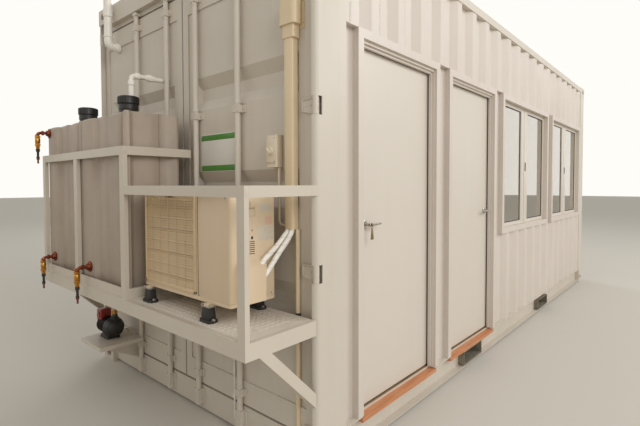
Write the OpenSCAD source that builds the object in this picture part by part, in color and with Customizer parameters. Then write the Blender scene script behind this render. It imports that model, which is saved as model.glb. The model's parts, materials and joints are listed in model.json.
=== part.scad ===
// Shipping container cabin: a high cube container with two doors and two windows in one long wall,
// and a service platform with water tanks and an outdoor unit on its cargo door end.
// X runs across the container, with the long wall that has the doors on +X.
// Y runs along it, with the cargo doors and the platform towards -Y, and Z is up from the ground.

/* [Container] */
// Length over the corner castings
body_l = 6058; // [6000:1:6100]
// Width over the corner castings
body_w = 2438; // [2400:1:2480]
// Height over the corner castings
body_h = 2896; // [2840:1:2950]
// Length of a corner casting along the container
cast_l = 178; // [170:1:190]
// Width of a corner casting across the container
cast_w = 162; // [150:1:170]
// Height of a corner casting
cast_h = 118; // [110:1:126]
// Wall of a corner casting
cast_t = 22; // [14:1:28]
// Face of a corner post on the long side
post_side_w = 235; // [220:1:240]
// Face of a corner post on the short side
post_end_w = 76; // [64:1:90]
// Plate of a corner post
post_t = 6; // [4:1:10]
// Outside radius on the edge of a corner post
post_r = 27; // [18:1:28]
// Lip of a corner post beside the cargo doors
lip_w = 29; // [29:1:36]
// Side of the square top side rail
top_rail_s = 60; // [50:1:70]
// Wall of the square top side rail
top_rail_t = 4; // [3:0.5:8]
// Drop from the top of the castings to the top of the rails
top_drop = 10; // [6:1:20]
// Height of the bottom side rail
low_rail_h = 158; // [150:1:166]
// Width of the bottom side rail's flanges
low_rail_w = 50; // [44:1:60]
// Plate of the bottom side rail
low_rail_t = 5; // [4:0.5:8]
// Rise from the ground to the bottom side rail
low_rise = 17; // [12:1:24]

/* [Corrugated panels] */
// Outer face of one corrugation
crest_w = 72; // [60:1:80]
// Sloping side of one corrugation
slope_w = 68; // [56:1:72]
// Inner face of one corrugation
valley_w = 70; // [60:1:80]
// Depth of a corrugation
panel_d = 36; // [30:1:40]
// Sheet of the corrugated panels
panel_t = 2; // [1.6:0.2:4]
// Set-back of the crests behind the castings' face
crest_back = 6; // [3:1:10]
// From the door end to the edge of the first crest
first_edge = 263; // [250:1:275]
// Depth of the roof panel's ridges
roof_d = 20; // [14:1:24]
// Pitch of the roof panel's ridges
roof_pitch = 209; // [190:1:230]

/* [Floor and lining] */
// Height of a cross member
member_h = 122; // [110:1:130]
// Width of a cross member's flanges
member_w = 45; // [38:1:50]
// Number of cross members
member_n = 14; // [10:1:18]
// Thickness of the floor
floor_t = 38; // [28:1:44]
// From a wall's outside face to the face of the lining
wall_t = 100; // [90:1:110]
// Lining board
lining_t = 9; // [6:1:16]
// Drop from the door header to the ceiling
ceiling_drop = 68; // [30:1:120]
// Running gap round a board
board_gap = 2; // [1:1:5]

/* [Fork pockets] */
// Width of a fork pocket
fork_w = 345; // [320:1:370]
// Height of a fork pocket
fork_h = 92; // [84:1:92]
// Centre distance of the fork pockets
fork_pitch = 2041; // [1900:1:2100]
// How far the fork pockets lie off the middle towards the door end
fork_shift = 105; // [0:1:120]
// Plate of a fork pocket
fork_t = 6; // [4:1:8]

/* [Doors] */
// Width of a door leaf
leaf_w = 820; // [760:1:860]
// Height of a door leaf
leaf_h = 2040; // [1980:1:2060]
// Thickness of a door leaf
leaf_t = 40; // [35:1:44]
// Gap round a door leaf
leaf_gap = 6; // [5:0.5:8]
// Gap between the floor and a door leaf
floor_gap = 10; // [8:1:16]
// Width of a door frame's edge that shows outside the leaf
frame_step = 9; // [6:1:14]
// How far the door stop covers the leaf's edge
stop_cover = 8; // [5:1:12]
// Depth of the door stop
stop_d = 25; // [16:1:27]
// Running gap between the leaf and the stop
stop_gap = 5; // [5:0.5:6]
// Radius of a hinge knuckle
knuckle_r = 6.2; // [5:0.1:7]
// Running gap between a knuckle and the leaf
knuckle_gap = 0.5; // [0.4:0.1:0.8]
// Height of one hinge
hinge_h = 100; // [80:1:120]
// Plate of a hinge
hinge_t = 2; // [1.5:0.5:3]
// From the door end to the first door surround
door_1_y = 342; // [335:1:345]
// From the door end to the second door surround
door_2_y = 1445; // [1430:1:1460]

/* [Surrounds] */
// Face of a door or window surround
face_w = 50; // [40:1:56]
// Depth of a surround
surround_d = 46; // [42:1:54]
// Wall of a surround's box section
surround_t = 4; // [3:0.5:6]
// Height of the surrounds' top edge
surround_top = 2300; // [2296:1:2320]
// Set-back of a surround behind the castings' face
surround_back = 1; // [0:1:3]

/* [Windows] */
// Height of a window's opening
window_h = 1200; // [1100:1:1260]
// From the door end to the first window surround
window_1_y = 2557; // [2540:1:2570]
// Gap between the two window surrounds
window_gap = 166; // [120:1:200]
// Face of a window's frame
sash_w = 36; // [28:1:50]
// Width of a window's middle stile
stile_w = 215; // [160:1:240]
// Thickness of the glass
glass_t = 6; // [4:1:10]
// How far a window's frame laps behind its surround
sash_lap = 15; // [8:1:20]

/* [Cargo doors] */
// Set-back of the cargo doors behind the end frame
cargo_back = 36; // [30:1:44]
// Depth of a cargo door's frame
cargo_d = 50; // [44:1:60]
// Width of a cargo door's upright members
cargo_stile = 60; // [44:1:80]
// Height of a cargo door's top and bottom members
cargo_rail = 136; // [120:1:150]
// Gap between and round the cargo doors
cargo_gap = 14; // [10:1:20]
// Height of the door header
header_h = 178; // [150:1:190]
// Height of the door sill
sill_h = 150; // [130:1:155]
// Sheet of a cargo door's panel
cargo_t = 3; // [2:0.5:5]
// Pitch of the pressed recesses of a cargo door
recess_pitch = 591; // [560:1:610]
// Height of the lowest recess
recess_z = 745; // [730:1:760]
// From a cargo door's edge to the end of a recess
recess_end = 110; // [90:1:130]
// Sloping end of a recess
recess_slope = 48; // [36:1:60]
// Radius of a locking bar
bar_r = 17; // [14:0.5:19]
// Centre of the inner locking bars
bar_in = 175; // [160:1:190]
// Centre of the outer locking bars
bar_out = 600; // [560:1:640]
// Radius of a cargo hinge's barrel
hinge_r = 15; // [12:1:15]
// Length of a cargo hinge's barrel
hinge_l = 90; // [84:1:100]
// Length of a cargo hinge's blade
blade_l = 88; // [80:1:110]

/* [Thresholds] */
// Thickness of a timber threshold
thresh_t = 24; // [18:1:28]
// Height of a timber threshold's top
thresh_z = 163; // [163:1:168]
// How far a threshold passes the opening on each side
thresh_over = 12; // [0:1:20]

/* [Platform] */
// Depth of the platform from the end frame
deck_d = 430; // [400:1:460]
// Height of the deck
deck_z = 802; // [780:1:830]
// Height of the platform's channel
deck_h = 75; // [60:1:90]
// Face of the rectangular tubes of the rails
tube_s = 50; // [40:1:60]
// Depth of the rectangular tubes
tube_d = 25; // [20:1:30]
// Wall of the rectangular tubes
tube_t = 3; // [2:0.5:5]
// Flange of the platform's channels and braces
channel_w = 40; // [30:1:50]
// Plate of the platform's channels and braces
channel_t = 5; // [4:0.5:8]
// Thickness of the tread plate
plate_t = 4; // [3:0.5:6]
// Height of the guard rail's top
guard_z = 1454; // [1400:1:1500]
// Height of the tank frame's top
tank_rail_z = 1680; // [1620:1:1720]
// Gap between the outdoor unit and the post beside it
post_gap = 56; // [40:1:80]
// Height of a brace's foot on the corner post
brace_z = 371; // [340:1:400]
// Reach of a brace's head under the platform
brace_reach = 355; // [340:1:385]
// Width of a brace along the platform's underside
brace_w = 70; // [60:1:90]
// Rim of the platform round the tread plate
rim_w = 28; // [25:1:34]
// Height of the kick plates round the tanks
kick_h = 60; // [40:1:80]

/* [Water tanks] */
// Depth of a water tank
tank_d = 345; // [300:1:360]
// Height of a water tank
tank_h = 1088; // [1000:1:1100]
// Radius of a tank's upright edges
tank_r = 26; // [18:1:40]
// Radius of a tank's upright grooves
groove_r = 16; // [10:1:24]
// Depth of a tank's upright grooves
groove_d = 8; // [4:1:10]
// Wall of a water tank
tank_t = 6; // [4:1:8]
// Gap between a tank and the frame
tank_gap = 3; // [2:1:8]
// Radius of a tank's screw cap
cap_r = 66; // [60:1:76]
// Height of a tank's screw cap
cap_h = 95; // [80:1:110]
// How far the valves stand in front of the platform
valve_reach = 70; // [60:1:100]
// Radius of a valve's body
valve_r = 19; // [15:1:22]
// Length of a valve from its elbow down to its tip
valve_l = 229; // [200:1:260]
// Radius of the overflow pipe
pipe_r = 22; // [18:1:26]
// Gap between the overflow pipe and the locking bar beside it
overflow_gap = 5; // [3:1:9]
// Radius of the vent pipe
vent_r = 28; // [22:1:30]
// Radius of the pipes' bends
bend_r = 45; // [36:1:48]

/* [Outdoor unit] */
// Width of the outdoor unit
unit_w = 800; // [760:1:820]
// Depth of the outdoor unit
unit_d = 285; // [260:1:300]
// Height of the outdoor unit
unit_h = 548; // [520:1:560]
// Radius of the outdoor unit's upright edges
unit_r = 40; // [20:1:50]
// Height of its rubber feet
foot_h = 88; // [80:1:95]
// From the container's side to the outdoor unit
unit_side = 221; // [219:1:236]
// Gap between the outdoor unit and the end frame
unit_gap = 62; // [50:1:70]
// Width of its raised grille
grille_w = 506; // [480:1:516]
// How far the grille stands in front of the case
grille_d = 9; // [7:1:12]
// How far its valve cover stands out at the side
valve_cover_w = 44; // [36:1:50]
// Radius of an insulated pipe
sleeve_r = 12; // [9:1:12]

/* [Duct and pump] */
// Width of the line duct
duct_w = 60; // [58:1:70]
// Depth of the line duct
duct_d = 48; // [40:1:56]
// From the container's side to the middle of the line duct
duct_side = 184; // [180:1:195]
// Height of the line duct's lower end
duct_z0 = 1232; // [1220:1:1280]
// From a cargo door's top member down to the upper end of the line duct
duct_drop = 368; // [358:1:400]
// Width of the isolator's box
isolator_w = 75; // [65:1:85]
// Height of the isolator's box
isolator_h = 168; // [150:1:180]
// Height of the isolator's lower edge
isolator_z = 1549; // [1500:1:1600]
// Radius of the drain pipe
drain_r = 12; // [9:1:12]
// Width of the pump's shelf
shelf_w = 341; // [300:1:350]
// Depth of the pump's shelf
shelf_d = 303; // [260:1:330]
// Height of the pump's shelf
shelf_z = 320; // [300:1:340]
// Depth of the shelf's turned edge
shelf_edge = 28; // [20:1:40]

/* [Hidden] */
$fn = 48;

half_w = body_w / 2;
pitch = crest_w + slope_w + valley_w + slope_w;
low_rail_top = low_rise + low_rail_h;
top_rail_z = body_h - top_drop - top_rail_s;
web_x = half_w - low_rail_w;
crest_x = half_w - crest_back;
floor_z = low_rise + member_h;
floor_top = floor_z + floor_t;
lining_x = half_w - wall_t;
end_lining_y = cargo_back + cargo_d + 64;
far_lining_y = body_l - wall_t;
valley_x = crest_x - panel_d;
fork_z = floor_z - fork_t - 1 - fork_h;
fork_ys = [for (k = [-1, 1]) body_l / 2 - fork_shift + k * fork_pitch / 2];

// Doors
opening_w = leaf_w + 2 * (leaf_gap + frame_step);
surround_w = opening_w + 2 * face_w;
opening_top = surround_top - face_w;
surround_x = half_w - surround_back;
surround_in = surround_x - surround_d;
leaf_proud = 3;
leaf_in = lining_x - leaf_proud;
leaf_out = leaf_in + leaf_t;
leaf_z = floor_top + floor_gap;
leaf_top = leaf_z + leaf_h;
frame_front = 18;
door_ys = [door_1_y, door_2_y];
leaf_y0 = face_w + frame_step + leaf_gap;
leaf_y1 = leaf_y0 + leaf_w;
knuckle_off = sqrt(pow(knuckle_r + knuckle_gap, 2) - pow(leaf_gap / 2, 2));
knuckle_x = leaf_in - knuckle_off;
lever_rise = 1043;
lever_z = leaf_z + lever_rise;
backset = 68;
rose_1_y = leaf_y0 + backset;
rose_2_y = leaf_y1 - backset;
rose_r = 26;
rose_t = 8;
neck_r = 10;
neck_gap = 0.5;
grip_r = 9;
grip_l = 112;
grip_off = 44;
spindle_r = 5;
spindle_hole_r = 11;

// Windows
window_full_w = (body_l - post_side_w - window_1_y - window_gap) / 2;
window_w = window_full_w - 2 * face_w;
window_2_y = window_1_y + window_full_w + window_gap;
window_ys = [window_1_y, window_2_y];
window_z = opening_top - window_h;
sash_d = surround_in - lining_x - lining_t;
glass_back = 11;
light_w = (window_w - 2 * sash_w - stile_w) / 2;

// Cargo doors
cargo_w = (body_w - 2 * lip_w - 3 * cargo_gap) / 2;
cargo_z = low_rise + sill_h + cargo_gap;
header_z = body_h - top_drop - header_h;
cargo_top = header_z - cargo_gap;
cargo_back_y = cargo_back + cargo_d;
frame_back_y = cargo_back_y + 14;
rebate_y = cargo_back_y + 4;
header_lip = 34;
ceiling_z = header_z - ceiling_drop;
recess_n = 3;
panel_back = 8;
panel_y = cargo_back + panel_back;
recess_h = 2 * slope_w + valley_w;
bar_y = cargo_back - bar_r - 1;
bar_z0 = low_rise + 26;
bar_z1 = header_z + header_lip - 6;
guide_h = 42;
guide_off = 50;
guide_lug = 27;
guide_t = 8;
guide_gap = 0.5;
hinge_n = 4;
hinge_x = half_w - hinge_r - 1;
hinge_y = hinge_r + 2;
hinge_low = cargo_z + 19;
hinge_pitch = (cargo_top - 34 - hinge_low) / (hinge_n - 1);
blade_t = 10;
notch_d = 48;

// Platform
deck_front = -deck_d;
frame_z = deck_z - deck_h;
rail_y = deck_front + tube_d;
kick_back = 10;
kick_t = 6;
unit_x1 = half_w - unit_side;
unit_x = unit_x1 - unit_w;
post_a_x = unit_x - post_gap - tube_s;
tank_x0 = tube_d + tank_gap - half_w;
tank_x1 = post_a_x + tube_s - tube_d - tank_gap;
tank_w = (tank_x1 - tank_x0 - tank_gap) / 2;
tank_xs = [tank_x0, tank_x1 - tank_w];
post_mid_back = 8;
post_mid_x = tank_x0 + tank_w - post_mid_back - tube_s;
tank_front = rail_y + tank_gap;
tank_top = deck_z + tank_h;
tank_mid_y = tank_front + tank_d / 2;
tank_rim = 10;
front_grooves = [0.28, 0.56, 0.84];
side_grooves = [0.13, 0.65];
neck_pipe_r = cap_r - 14;
lid_h = 45;
lid_t = 12;

// Valves, each at a distance along its tank and a height over the deck
low_valve = [112, 121];
high_valve = [45, 1047];
gland_r = 35;
gland_t = 10;
stub_r = 11;
stub_bend = 16;
body_drop = [22, 122];
hose_r = 8;
hose_drop = 190;
tip_r = 6;
valve_y = deck_front - valve_reach + valve_r;

// White pipes
socket_t = 4;
socket_l = 34;
overflow_rise = 280;
overflow_x = -bar_in - bar_r - overflow_gap - pipe_r;
overflow_z = tank_top + overflow_rise;
vent_side = 269;
vent_drop = 221;
vent_rise = 140;
vent_x = vent_side - half_w;
vent_y = -44;
vent_z = header_z - vent_drop;
vent_top = body_h + vent_rise;

// Outdoor unit
unit_z = deck_z + foot_h;
unit_back = -unit_gap;
unit_front = unit_back - unit_d;
unit_top = unit_z + unit_h;
case_front = unit_front + grille_d;
case_t = 6;
grille_edge = 24;
grille_rim = 10;
slat_n = 36;
slat_h = 9;
fan_r = unit_h / 2 - 40;
leg_h = 14;
foot_xs = [unit_x + 72, unit_x1 - 162];
foot_ys = [unit_front + 2, unit_back + 22];
valve_cover_y0 = case_front;
valve_cover_y1 = -150;
valve_cover_z = unit_z + 13;
valve_cover_h = 197;

// Duct, isolator, drain and pump
duct_x = half_w - duct_side - duct_w / 2;
duct_x1 = duct_x + duct_w;
duct_z1 = cargo_top - cargo_rail - duct_drop;
duct_t = 3;
duct_r = 12;
collar_h = 65;
collar_w = 12;
duct_cap_h = 125;
duct_cap_w = 30;
sleeve_y = sleeve_r;
sleeve_xs = [for (k = [0, 1]) duct_x + duct_t + 1 + sleeve_r + k * (2 * sleeve_r + 2)];
isolator_x = duct_x - 133;
isolator_d = 48;
conduit_r = 8;
drain_x = duct_x1 + 1;
drain_y = panel_y - drain_r - 1;
drain_z = shelf_z + 10;
clip_h = 30;
shelf_side = 342;
shelf_x = shelf_side - half_w;
shelf_t = 4;
gusset_xs = [shelf_x + 20, shelf_x + 210];
gusset_h = 190;
pump_x = shelf_x + shelf_w / 2;
pump_y = -150;
pump_z = shelf_z + 90;

// Overall length, with the valves in front of the platform
total_l = body_l + deck_d + valve_reach;
door_end_y = -total_l / 2 + valve_reach + deck_d;

// Moves a piece from the door end's plane to its place in the model
module from_door_end() { translate([0, door_end_y, 0]) children(); }

// A block between two opposite corners
module block(lo, hi) { translate(lo) cube(hi - lo); }

module mirrored_x() {
    children();
    mirror([1, 0, 0]) children();
}

// A rectangular tube between two opposite corners, open along one axis
module tube(lo, hi, axis) {
    wall = [for (i = [0 : 2]) i == axis ? -1 : tube_t];
    difference() {
        block(lo, hi);
        block(lo + wall, hi - wall);
    }
}

module round_rectangle(w, h, r) {
    translate([r, 0]) square([w - 2 * r, h]);
    translate([0, r]) square([w, h - 2 * r]);
    for (x = [r, w - r], y = [r, h - r]) translate([x, y]) circle(r = r);
}

// An upright box with round edges, its lower corner at lo
module soft_box(lo, hi, r) {
    translate(lo)
        linear_extrude(height = hi[2] - lo[2]) round_rectangle(hi[0] - lo[0], hi[1] - lo[1], r);
}

// A plate across Y with round corners
module soft_plate(lo, hi, r) {
    translate([lo[0], hi[1], lo[2]]) rotate([90, 0, 0])
        linear_extrude(height = hi[1] - lo[1]) round_rectangle(hi[0] - lo[0], hi[2] - lo[2], r);
}

module rod_along_x(x0, x1, y, z, r) { translate([x0, y, z]) rotate([0, 90, 0]) cylinder(r = r, h = x1 - x0); }
module rod_along_y(x, y0, y1, z, r) { translate([x, y1, z]) rotate([90, 0, 0]) cylinder(r = r, h = y1 - y0); }
module rod_upright(x, y, z0, z1, r) { translate([x, y, z0]) cylinder(r = r, h = z1 - z0); }

module rod_between(a, b, r) {
    way = b - a;
    translate(a) rotate([0, acos(way[2] / norm(way)), atan2(way[1], way[0])])
        cylinder(r = r, h = norm(way));
}

// A bent rod with its corner at the origin: one leg runs along Y to y, the other up or down to z
module bent_rod(y, z, r, bend) {
    mirror([0, 0, z > 0 ? 1 : 0]) {
        rod_upright(0, 0, -abs(z), -bend, r);
        translate([0, bend, -bend]) rotate([90, 0, -90])
            rotate_extrude(angle = 90) translate([bend, 0]) circle(r = r);
        rod_along_y(0, bend, y, 0, r);
    }
}

// A bent pipe with a socket on each side of its bend
module bent_pipe(y, z, r) {
    bent_rod(y, z, r, bend_r);
    mirror([0, 0, z > 0 ? 1 : 0]) rod_upright(0, 0, -bend_r - socket_l, -bend_r, r + socket_t);
    rod_along_y(0, bend_r, bend_r + socket_l, 0, r + socket_t);
}

// Corrugated sheet: the waves' depth along the sheet, at a set-back of off
function wave(k, start, off) = [
    [start + k * pitch, off],
    [start + k * pitch + slope_w, off + panel_d],
    [start + k * pitch + slope_w + valley_w, off + panel_d],
    [start + k * pitch + 2 * slope_w + valley_w, off]
];
function wave_count(start, end) = floor((end - start + crest_w) / pitch);
function wave_line(begin, start, end, off) = concat(
    [[begin, off]],
    [for (k = [0 : wave_count(start, end) - 1]) for (p = wave(k, start, off)) p],
    [[end, off]]
);
function reversed(list) = [for (i = [len(list) - 1 : -1 : 0]) list[i]];

// A corrugated wall along Y whose crests lie at x, from begin to end
module corrugated(x, begin, start, end, z0, z1) {
    outer = wave_line(begin, start, end, 0);
    inner = reversed(wave_line(begin, start, end, panel_t));
    translate([0, 0, z0])
        linear_extrude(height = z1 - z0)
            polygon([for (p = concat(outer, inner)) [x - p[1], p[0]]]);
}

module long_wall() {
    corrugated(crest_x, post_side_w, first_edge, body_l - post_side_w, low_rail_top, top_rail_z);
}

// Steel frame of the container

module notched_for_thresholds() {
    difference() {
        children();
        for (y = door_ys)
            block([web_x, y + face_w - thresh_over, thresh_z - thresh_t],
                  [half_w + 1, y + face_w + opening_w + thresh_over, low_rail_top + 1]);
    }
}

module bottom_side_rail() {
    difference() {
        block([web_x - low_rail_t, cast_l, low_rise], [half_w, body_l - cast_l, low_rail_top]);
        block([web_x, cast_l - 1, low_rise + low_rail_t],
              [half_w + 1, body_l - cast_l + 1, low_rail_top - low_rail_t]);
        for (y = fork_ys)
            block([web_x - low_rail_t - 1, y - fork_w / 2 - fork_t, fork_z - fork_t],
                  [half_w + 1, y + fork_w / 2 + fork_t, fork_z + fork_h + fork_t]);
    }
}

module bottom_side_rails() {
    color("#D2C8B6") from_door_end() {
        notched_for_thresholds() bottom_side_rail();
        mirror([1, 0, 0]) bottom_side_rail();
    }
}

module cross_members() {
    member_first = post_side_w + 25;
    member_step = (body_l - 2 * member_first - member_w) / (member_n - 1);
    color("#8E8676") from_door_end()
        for (k = [0 : member_n - 1]) {
            y = member_first + k * member_step;
            if (min([for (f = fork_ys) abs(y + member_w / 2 - f)]) > fork_w / 2 + fork_t + member_w)
                difference() {
                    block([low_rail_t - web_x, y, low_rise], [web_x - low_rail_t, y + member_w, floor_z]);
                    block([-half_w, y + low_rail_t, low_rise + low_rail_t],
                          [half_w, y + member_w + 1, floor_z - low_rail_t]);
                }
        }
}

module fork_pockets() {
    color("#A2998A") from_door_end()
        for (y = fork_ys) {
            difference() {
                block([-half_w, y - fork_w / 2 - fork_t, fork_z - fork_t],
                      [half_w, y + fork_w / 2 + fork_t, fork_z + fork_h + fork_t]);
                block([-half_w - 1, y - fork_w / 2, fork_z], [half_w + 1, y + fork_w / 2, fork_z + fork_h]);
            }
        }
}

// The part of a sill or header that fills the rebates of the posts beside the cargo doors
module rebate_part(z0, z1) {
    block([lip_w - half_w, cargo_back, z0], [half_w - lip_w, rebate_y, z1]);
}

// Channel under an end of the container, its face at front behind the castings
module end_sill(front) {
    top = low_rise + sill_h;
    difference() {
        union() {
            block([cast_w - half_w, front, low_rise], [half_w - cast_w, frame_back_y, top]);
            block([post_end_w - half_w, front, cast_h], [half_w - post_end_w, frame_back_y, top]);
            if (front == cargo_back) rebate_part(cast_h, top);
        }
        block([-half_w, front + post_t, low_rise + post_t], [half_w, frame_back_y + 1, top - post_t]);
    }
}

module end_sills() {
    color("#B4AA9A") from_door_end() {
        end_sill(cargo_back);
        translate([0, body_l, 0]) mirror([0, 1, 0]) end_sill(crest_back);
    }
}

module slot_hole(length, width, depth) {
    linear_extrude(height = depth, center = true)
        union() {
            square([length - width, width], center = true);
            for (s = [-1, 1]) translate([s * (length - width) / 2, 0]) circle(d = width);
        }
}

// Corner casting at the door end, its outer corner at half_w, 0, 0, hollow with three slots
module casting() {
    difference() {
        block([half_w - cast_w, 0, 0], [half_w, cast_l, cast_h]);
        block([half_w - cast_w + cast_t, cast_t, cast_t],
              [half_w - cast_t, cast_l - cast_t, cast_h - cast_t]);
        translate([half_w - cast_w / 2, cast_l / 2, 0]) rotate([0, 0, 90]) slot_hole(124, 64, 3 * cast_t);
        translate([half_w, cast_l / 2, cast_h / 2]) rotate([90, 0, 90]) slot_hole(79, 51, 3 * cast_t);
        translate([half_w - cast_w / 2, 0, cast_h / 2]) rotate([90, 0, 0]) slot_hole(79, 51, 3 * cast_t);
    }
}

module corner_castings() {
    color("#B8AE9D") from_door_end() mirrored_x()
        for (far = [0, 1], top = [0, 1])
            translate([0, far * body_l, top * body_h])
                mirror([0, far, 0]) mirror([0, 0, top]) casting();
}

// Plan of a corner post drawn in by inset, with its outer corner rounded and its inner corner rebated
module post_plan(inset, rebate) {
    difference() {
        union() {
            translate([inset, post_r]) square([post_end_w - 2 * inset, post_side_w - inset - post_r]);
            translate([inset, inset]) square([post_end_w - post_r - inset, post_r]);
            translate([post_end_w - post_r, post_r]) circle(r = post_r - inset);
        }
        translate([-1, -1]) square([rebate[0] + inset + 1, rebate[1] + inset + 1]);
    }
}

module post_part(y0, y1, z0, z1, rebate) {
    translate([half_w - post_end_w, 0, z0])
        linear_extrude(height = z1 - z0) intersection() {
            difference() {
                post_plan(0, rebate);
                post_plan(post_t, rebate);
            }
            translate([0, y0]) square([post_end_w, y1 - y0]);
        }
}

module corner_post(rebate) {
    post_part(0, cast_l, cast_h, body_h - cast_h, rebate);
    post_part(cast_l, post_side_w, low_rail_top, top_rail_z, rebate);
}

// Cuts the round edge of the posts at the door end into the rails that end on them
module coped_to_posts() {
    difference() {
        children();
        mirrored_x() translate([half_w - post_end_w, 0, cast_h])
            linear_extrude(height = body_h - 2 * cast_h) post_plan(0, [0, 0]);
    }
}

module corner_posts() {
    color("#D6CCBA") from_door_end() mirrored_x() {
        difference() {
            corner_post([post_end_w - lip_w, rebate_y]);
            for (k = [0 : hinge_n - 1])
                block([half_w - lip_w - 1, -1, hinge_low + k * hinge_pitch - hinge_l / 2],
                      [half_w + 1, notch_d, hinge_low + k * hinge_pitch + hinge_l / 2]);
        }
        translate([0, body_l, 0]) mirror([0, 1, 0]) corner_post([0, 0]);
    }
}

module top_side_rails() {
    color("#DCD3C2") from_door_end() mirrored_x()
        difference() {
            block([half_w - top_rail_s, cast_l, top_rail_z],
                  [half_w, body_l - cast_l, top_rail_z + top_rail_s]);
            block([half_w - top_rail_s + top_rail_t, cast_l - 1, top_rail_z + top_rail_t],
                  [half_w - top_rail_t, body_l - cast_l + 1, top_rail_z + top_rail_s - top_rail_t]);
        }
}

// Channel over an end of the container, its lower lip at lip behind the castings
module end_header(lip) {
    difference() {
        union() {
            block([cast_w - half_w, 0, header_z + header_lip],
                  [half_w - cast_w, frame_back_y, body_h - top_drop]);
            block([post_end_w - half_w, lip, header_z],
                  [half_w - post_end_w, frame_back_y, body_h - cast_h]);
            if (lip == cargo_back) rebate_part(header_z, body_h - cast_h);
        }
        block([-half_w, lip + post_t, header_z + post_t],
              [half_w, frame_back_y + 1, body_h - top_drop - post_t]);
        block([-half_w, post_t, header_z + header_lip + post_t],
              [half_w, frame_back_y + 1, body_h - top_drop - post_t]);
    }
}

module end_headers() {
    color("#BDB3A2") from_door_end() {
        end_header(cargo_back);
        translate([0, body_l, 0]) mirror([0, 1, 0]) end_header(crest_back);
    }
}

// Roof: low ridges across the container, cut out round the castings
module roof() {
    roof_top = body_h - top_drop - 2;
    roof_y0 = frame_back_y;
    roof_y1 = body_l - roof_y0;
    ridge_w = roof_pitch / 2 - roof_d;
    ridge_n = floor((roof_y1 - roof_y0) / roof_pitch);
    function ridge(k, off) = [
        [roof_y0 + k * roof_pitch + roof_d, roof_top - roof_d - off],
        [roof_y0 + k * roof_pitch + 2 * roof_d, roof_top - off],
        [roof_y0 + k * roof_pitch + 2 * roof_d + ridge_w, roof_top - off],
        [roof_y0 + k * roof_pitch + 3 * roof_d + ridge_w, roof_top - roof_d - off]
    ];
    function roof_line(off) = concat(
        [[roof_y0, roof_top - roof_d - off]],
        [for (k = [0 : ridge_n - 1]) for (p = ridge(k, off)) p],
        [[roof_y1, roof_top - roof_d - off]]
    );
    color("#D0C7B6") from_door_end() difference() {
        translate([top_rail_s - half_w, 0, 0]) rotate([90, 0, 90])
            linear_extrude(height = body_w - 2 * top_rail_s)
                polygon(concat(roof_line(0), reversed(roof_line(panel_t))));
        mirrored_x() for (y = [0, body_l - cast_l])
            block([half_w - cast_w, y, body_h - cast_h], [half_w, y + cast_l, body_h]);
    }
}

// Walls

module right_wall_piers() {
    ends = [
        [post_side_w, door_1_y],
        [door_1_y + surround_w, door_2_y],
        [door_2_y + surround_w, window_1_y]
    ];
    color("#CDC3B1") from_door_end()
        for (e = ends) block([valley_x - panel_t, e[0], low_rail_top], [valley_x, e[1], surround_top]);
}

module right_wall_heads() {
    color("#D5CBB9") from_door_end() intersection() {
        long_wall();
        block([0, 0, surround_top], [body_w, window_1_y, body_h]);
    }
}

module right_wall_window_bay() {
    color("#D3C9B7") from_door_end() {
        difference() {
            intersection() {
                long_wall();
                block([0, window_1_y, 0], [body_w, body_l, body_h]);
            }
            block([0, window_1_y - 1, window_z - face_w],
                  [body_w, window_2_y + window_full_w + 1, surround_top]);
        }
        block([valley_x - panel_t, window_1_y + window_full_w, window_z - face_w],
              [valley_x, window_2_y, surround_top]);
    }
}

module left_wall() {
    color("#CBC1AF") from_door_end() mirror([1, 0, 0]) long_wall();
}

module far_wall() {
    span = half_w - post_end_w;
    color("#C6BCAA") from_door_end() rotate([0, 0, 90])
        corrugated(body_l - crest_back, -span, crest_w - span, span, low_rise + sill_h, header_z);
}

module floor() {
    color("#7E7668") from_door_end() {
        block([post_end_w - half_w, frame_back_y, floor_z],
              [half_w - post_end_w, body_l - frame_back_y, floor_top]);
        block([low_rail_t - web_x + board_gap, post_side_w, floor_z],
              [web_x - low_rail_t - board_gap, body_l - post_side_w, floor_top]);
    }
}

module wall_linings() {
    door_a = [for (y = door_ys) y + face_w];
    door_b = [for (y = door_ys) y + face_w + opening_w];
    color("#E4E0D6") from_door_end() {
        // Boards beside the doors and round the windows
        block([lining_x, end_lining_y, floor_top], [lining_x + lining_t, door_a[0], ceiling_z]);
        block([lining_x, door_b[0], floor_top], [lining_x + lining_t, door_a[1], ceiling_z]);
        difference() {
            block([lining_x, door_b[1], floor_top], [lining_x + lining_t, far_lining_y, ceiling_z]);
            for (y = window_ys)
                block([lining_x - 1, y + face_w, window_z],
                      [lining_x + lining_t + 1, y + face_w + window_w, opening_top]);
        }
        // Boards over the doors
        for (y = door_a)
            block([lining_x, y + board_gap, opening_top],
                  [lining_x + lining_t, y + opening_w - board_gap, ceiling_z]);
        block([-lining_x - lining_t, end_lining_y, floor_top], [-lining_x, far_lining_y, ceiling_z]);
        for (y = [end_lining_y - lining_t, far_lining_y])
            block([board_gap - lining_x, y, floor_top], [lining_x - board_gap, y + lining_t, ceiling_z]);
    }
}

module ceiling() {
    color("#ECE9E1") from_door_end()
        block([-lining_x - lining_t, end_lining_y - lining_t, ceiling_z],
              [lining_x + lining_t, far_lining_y + lining_t, ceiling_z + lining_t]);
}

// Cargo doors

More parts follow.
